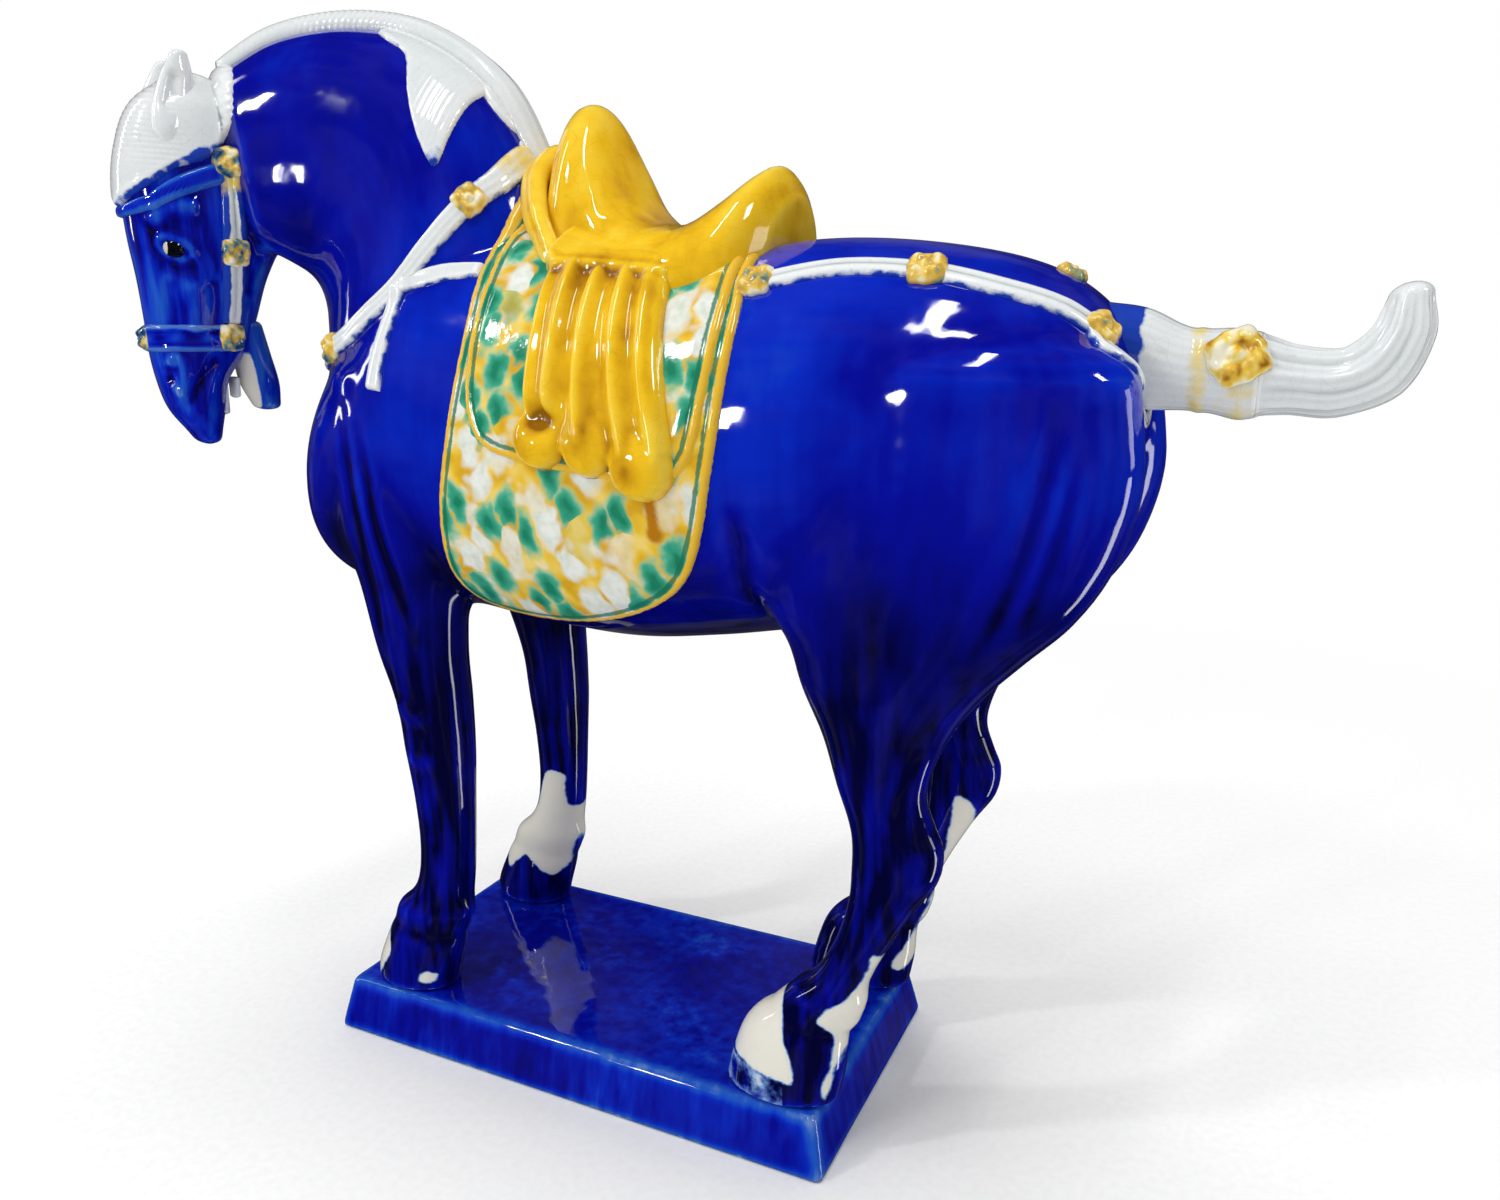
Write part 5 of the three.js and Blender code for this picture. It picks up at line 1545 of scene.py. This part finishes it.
# Sprigged medallions: four-lobed plates with petals round a boss
def medallion(name, spot, radius, height, base, turn=0.0, material=None, slot="amber_glaze"):
    point, normal = spot
    across = np.array([1.0, 0, 0]) if abs(normal[2]) > 0.9 else UP
    sideways = unit(np.cross(across, normal))
    upright = unit(np.cross(normal, sideways))
    sides, rows = 64, 22
    rings = []
    for r in range(rows):
        t = 1 - r / (rows - 1)
        angle = 2 * np.pi * np.arange(sides) / sides
        squared = (np.abs(np.cos(angle)) ** 3.4 + np.abs(np.sin(angle)) ** 3.4) ** (-1 / 3.4)
        lobe = radius * t * (1 + t * (0.93 * squared - 1)) * (1 + 0.035 * t * np.cos(8 * angle))
        petals = 0.5 - 0.5 * np.cos(4 * angle)
        crown = height * (1 - t**6) * 0.62
        boss = height * 0.42 * np.exp(-((t / 0.24) ** 2))
        cheeks = height * 0.34 * petals * np.exp(-(((t - 0.62) / 0.22) ** 2))
        groove = -height * 0.14 * np.exp(-(((t - 0.34) / 0.1) ** 2))
        lift = base + crown + boss + cheeks + groove
        rings.append(
            point + normal * lift[:, None]
            + sideways * (lobe * np.cos(angle + turn))[:, None]
            + upright * (lobe * np.sin(angle + turn))[:, None]
        )
    bottom = rings[0] - normal * (base + 1.0)
    form = skin_of(np.array([bottom * 1.0, *rings]))
    points, faces = form
    points = points + normal * (0.35 * wobble(points, 5, int(abs(point[0]) * 7)))[:, None]
    form_piece(name, [name], slot, material or SPRIG, (points, faces), scale=0.3)


def on_flank(x, rise, side):
    return body.strike((x, -160 * side, DECK + rise), (0, side, 0))


def on_cheek(forward, rise, side):
    return body.strike(head_point(forward, rise, 60 * side), -HEAD_LEFT * side)


for side, name in ((LEFT, "left"), (RIGHT, "right")):
    medallion(f"breast_rosette_{name}", on_flank(-50, 382, side), 7.4, 4.0, 1.6, 0.75)
    medallion(f"breast_medallion_{name}", on_flank(-124, 319, side), 7.2, 3.8, 1.6, 0.3)
    medallion(f"crupper_tab_{name}", on_flank(93, 344, side), 7.6, 3.8, 1.6, 0.1)
    medallion(f"crupper_rosette_{name}", on_flank(158, 347, side), 8.2, 4.0, 1.6, 0.0)
    medallion(f"crupper_stud_{name}", on_flank(219, 326, side), 7.4, 3.8, 1.6, 0.4)
    medallion(f"brow_medallion_{name}", on_cheek(4, 402.5, side), 7.6, 3.8, 1.8, 0.0, HEAD_SPRIG)
    medallion(f"cheek_medallion_{name}", on_cheek(4.7, 363, side), 6.9, 3.6, 1.6, 0.0, HEAD_SPRIG)
    medallion(f"noseband_medallion_{name}", on_cheek(8, 324, side), 6.9, 3.4, 1.4, 0.0, HEAD_SPRIG)
medallion("nose_medallion", body.strike(head_point(80, 323.5), -HEAD_FORWARD), 5.8, 3.0, 1.4, 0.0, HEAD_SPRIG)
medallion("croup_medallion", body.strike((203, 0, DECK + 450), (0, 0, -1)), 6.6, 3.2, 0.4)


# Tail: dock bound with raised cords, then a combed plume
TAIL = [
    (215, 318, 0, 19, 17), (232, 315.5, 0, 18.5, 16), (248, 312, 0, 15, 14.5), (266, 311, 0, 15.5, 15),
    (281, 309, 0, 12, 13), (296, 308, 0.2, 11.5, 13), (308, 313, 0.8, 11.5, 12), (315, 325, 1.35, 9.5, 10.5),
    (316, 337, 1.7, 7, 8),
]
TAIL_PART = 3


def tail_rings():
    rows = []
    for x, rise, tilt, half, wide in TAIL:
        lean = np.array([-math.sin(tilt), 0, math.cos(tilt)])
        centre = np.array([x, 0, DECK + rise])
        rows.append(section(centre + lean * half, centre - lean * half, RIGHTWARD, wide))
    rings = rings_of(rows, 20, 96, 0, 5)
    centres = rings.mean(1, keepdims=True)
    angle = 2 * np.pi * np.arange(96) / 96
    for k in range(len(rings)):
        t = k / 20
        fade = smooth_step(t, 3.1, 3.9) * (1 - smooth_step(t, 7.4, 8.4))
        comb = fade * (0.07 * np.cos(7 * angle + 0.5 * t) + 0.03 * np.cos(20 * angle + 0.7 * t))
        fine = 0.008 * smooth_step(t, 0.2, 0.8) * (1 - smooth_step(t, 2.6, 3.1)) * np.cos(26 * angle)
        knot = 0.1 * math.exp(-(((t - 3.0) / 0.35) ** 2)) * np.clip(-np.cos(angle), 0, 1) ** 2
        bindings = sum(0.03 * math.exp(-(((t - spot) / 0.1) ** 2)) for spot in (2.2, 3.3))
        rings[k] = centres[k] + (rings[k] - centres[k]) * (1 + comb + fine + knot + bindings)[:, None]
    return rings


tail = tail_rings()
split = int(20 * 3.35)
form_piece(
    "tail_dock", ["tail_dock"], "cream_glaze", CREAM, skin_of(tail[:split + 1]),
    {
        "bleed": lambda p: 1 - smooth_step(p[:, 0], 227, 236),
        "stain": lambda p: 0.5 * np.exp(-(((p[:, 0] - 251) / 4) ** 2)) + 0.38 * np.exp(-(((p[:, 0] - 266) / 8) ** 2)),
    },
    scale=0.3,
)
form_piece("tail_plume", ["tail_plume"], "cream_glaze", CREAM, skin_of(tail[split:]), scale=0.3)
tail_side = Skin(mesh_of("tail_probe", *skin_of(tail[:split + 1])))
tail_side.tree()
medallion(
    "tail_rosette", tail_side.strike((264, -160, DECK + 317), (0, 1, 0)), 10.8, 5.0, 0.2, 0.5, TAIL_SPRIG,
)
bpy.data.meshes.remove(tail_side.mesh)


# Plinth: a slab with sloping sides and softened edges, its top a little uneven under the pooled glaze
def plinth_form():
    profile = [(5, 0), (5, 1.2), (4.2, 5), (0.4, 22.5), (-0.2, 24.6), (-1.4, 26), (-3, 26.5)]
    rings = []
    for grow, z in spline([(g, h, 0) for g, h in profile], 40)[:, :2]:
        ring = []
        half = np.array([130 + grow, 67.5 + grow])
        corner = 3.5
        for sign_x, sign_y, start in ((1, 1, 0), (-1, 1, 90), (-1, -1, 180), (1, -1, 270)):
            middle = np.array([sign_x * (half[0] - corner), sign_y * (half[1] - corner)])
            for turn in np.radians(np.linspace(start, start + 90, 8)):
                ring.append((*(middle + corner * np.array([math.cos(turn), math.sin(turn)])), z))
        rings.append(ring)
    return skin_of(np.array(rings))


solid_piece(
    "plinth", ["plinth"], "cobalt_glaze", COBALT, [plinth_form()], 1.6, 2,
    extra={
        "bare": lambda p: 0.35 * (1 - smooth_step(p[:, 2], 0.5, 3.0)),
        "thin": lambda p: 0.22 + 0.3 * smooth_step(wobble(p, 30, 5), 0.0, 0.5),
    },
)


# Studio: camera at the photograph's place, pale floor, and soft light from windows
camera = bpy.data.objects.new("camera", bpy.data.cameras.new("camera"))
bpy.context.scene.collection.objects.link(camera)
camera.data.sensor_width = 36
camera.data.lens = 26.78
camera.location = (0.28015, -0.45102, 0.3485)
azimuth, elevation = math.radians(25.22), math.radians(13.04)
look = Vector((
    -math.sin(azimuth) * math.cos(elevation), math.cos(azimuth) * math.cos(elevation), -math.sin(elevation),
))
camera.rotation_mode = "QUATERNION"
camera.rotation_quaternion = look.to_track_quat("-Z", "Y")
camera.data.clip_start = 0.01
bpy.context.scene.camera = camera

floor_mesh = bpy.data.meshes.new("floor")
size = 12.0
floor_mesh.from_pydata([(-size, -size, 0), (size, -size, 0), (size, size, 0), (-size, size, 0)], [], [(0, 1, 2, 3)])
floor = bpy.data.objects.new("floor", floor_mesh)
bpy.context.scene.collection.objects.link(floor)
floor.location.z = -0.0005
floor.visible_glossy = False
# Matt white paper that carries the shadow near the horse and goes over into the plain white backdrop
paper, tree = new_glaze("white_paper_floor")
place = add(tree, "TexCoord").outputs["Object"]
grain = add(tree, "TexNoise", {"Scale": per_metre(4)}, {"Vector": place}).outputs["Fac"]
tone = add(tree, "ValToRGB", None, {"Fac": grain}, [(0.3, "#f6f6f6"), (0.7, "#fbfbfb")]).outputs[0]
diffuse = add(tree, "BsdfDiffuse", None, {"Color": tone})
white = add(tree, "Emission", {"Color": (1, 1, 1, 1), "Strength": 1.0})
rays = add(tree, "LightPath").outputs
mirrored = add(tree, "Math", {"operation": "MAXIMUM"}, {0: rays["Is Glossy Ray"], 1: rays["Is Transmission Ray"]})
seen = add(tree, "Math", {"operation": "MAXIMUM"}, {0: rays["Is Camera Ray"], 1: mirrored.outputs[0]})
away = add(tree, "VectorMath", {"operation": "LENGTH"}, {0: place}).outputs["Value"]
far = add(tree, "MapRange", {"From Min": 0.35, "From Max": 1.1}, {"Value": away}).outputs[0]
share = add(tree, "Math", {"operation": "MULTIPLY"}, {0: far, 1: seen.outputs[0]})
mixed = add(tree, "MixShader", None, {0: share.outputs[0], 1: diffuse.outputs[0], 2: white.outputs[0]})
add(tree, "OutputMaterial", None, {"Surface": mixed.outputs[0]})
floor_mesh.materials.append(paper)

world = bpy.data.worlds.new("studio")
bpy.context.scene.world = world
world.use_nodes = True
tree = world.node_tree
tree.nodes.clear()
rays = add(tree, "LightPath").outputs
mirrored = add(tree, "Math", {"operation": "MAXIMUM"}, {0: rays["Is Glossy Ray"], 1: rays["Is Transmission Ray"]})
seen = add(tree, "Math", {"operation": "MAXIMUM"}, {0: rays["Is Camera Ray"], 1: mirrored.outputs[0]})
room = add(tree, "Background", {"Color": (1, 1, 1, 1), "Strength": 0.68})
backdrop = add(tree, "Background", {"Color": (1, 1, 1, 1), "Strength": 1.0})
mixed = add(tree, "MixShader", None, {0: seen.outputs[0], 1: room.outputs[0], 2: backdrop.outputs[0]})
add(tree, "OutputWorld", None, {"Surface": mixed.outputs[0]})

# Grey cloth flags hung all round, out of the camera's sight, keep the glaze from mirroring a white void
flag_work = bmesh.new()
bmesh.ops.create_icosphere(flag_work, subdivisions=4, radius=3.4)
flag_mesh = bpy.data.meshes.new("flags")
flag_work.to_mesh(flag_mesh)
flag_work.free()
flags = bpy.data.objects.new("flags", flag_mesh)
bpy.context.scene.collection.objects.link(flags)
flags.visible_camera = False
flags.visible_diffuse = False
flags.visible_transmission = False
flags.visible_shadow = False
cloth, tree = new_glaze("grey_flag_cloth")
place = add(tree, "TexCoord").outputs["Object"]
folds = add(tree, "TexNoise", {"Scale": per_metre(1600), "Detail": 4, "Roughness": 0.6}, {"Vector": place})
shade = add(tree, "ValToRGB", None, {"Fac": folds.outputs["Fac"]}, [
    (0.4, "#14141b"), (0.5, "#25232d"), (0.58, "#46424c"), (0.68, "#5a5660"),
]).outputs[0]
glow = add(tree, "Emission", {"Strength": 1.0}, {"Color": shade})
add(tree, "OutputMaterial", None, {"Surface": glow.outputs[0]})
flag_mesh.materials.append(cloth)


def lamp(name, place, target, width, depth, power, gloss_only=False):
    light = bpy.data.lights.new(name, "AREA")
    light.shape = "RECTANGLE"
    light.size, light.size_y, light.energy = width, depth, power
    thing = bpy.data.objects.new(name, light)
    bpy.context.scene.collection.objects.link(thing)
    thing.location = place
    thing.rotation_mode = "QUATERNION"
    thing.rotation_quaternion = (Vector(target) - Vector(place)).to_track_quat("-Z", "Y")
    thing.visible_camera = False
    thing.visible_diffuse = not gloss_only


lamp("window_left", (-1.51, -1.63, 2.15), (0, 0, 0.32), 0.14, 0.26, 12)
lamp("window_high", (0.03, -0.9, 2.6), (0.16, -0.05, 0.35), 0.16, 1.1, 13)
lamp("window_low", (-0.97, -2.19, 0.8), (0.1, 0, 0.3), 0.13, 0.34, 6)
lamp("ceiling", (0.2, 0.3, 2.3), (0, 0, 0.2), 1.3, 0.9, 12)
bpy.data.objects["ceiling"].visible_glossy = False
# Seen only as reflections: far windows on both sides, and a pale board low down on the right
lamp("window_right", (2.15, 0.55, 0.62), (0.1, 0, 0.3), 0.4, 0.6, 2.6, True)
lamp("skylight_right", (1.7, -0.25, 1.75), (-0.1, 0, 0.3), 0.24, 0.5, 9, True)
lamp("tall_window_left", (-2.1, -0.65, 1.3), (0, 0, 0.35), 0.12, 1.9, 7, True)
lamp("low_board", (2.0, 0.35, -0.6), (0, 0, 0.12), 0.26, 1.7, 8, True)

view = bpy.context.scene.view_settings
view.view_transform = "Standard"
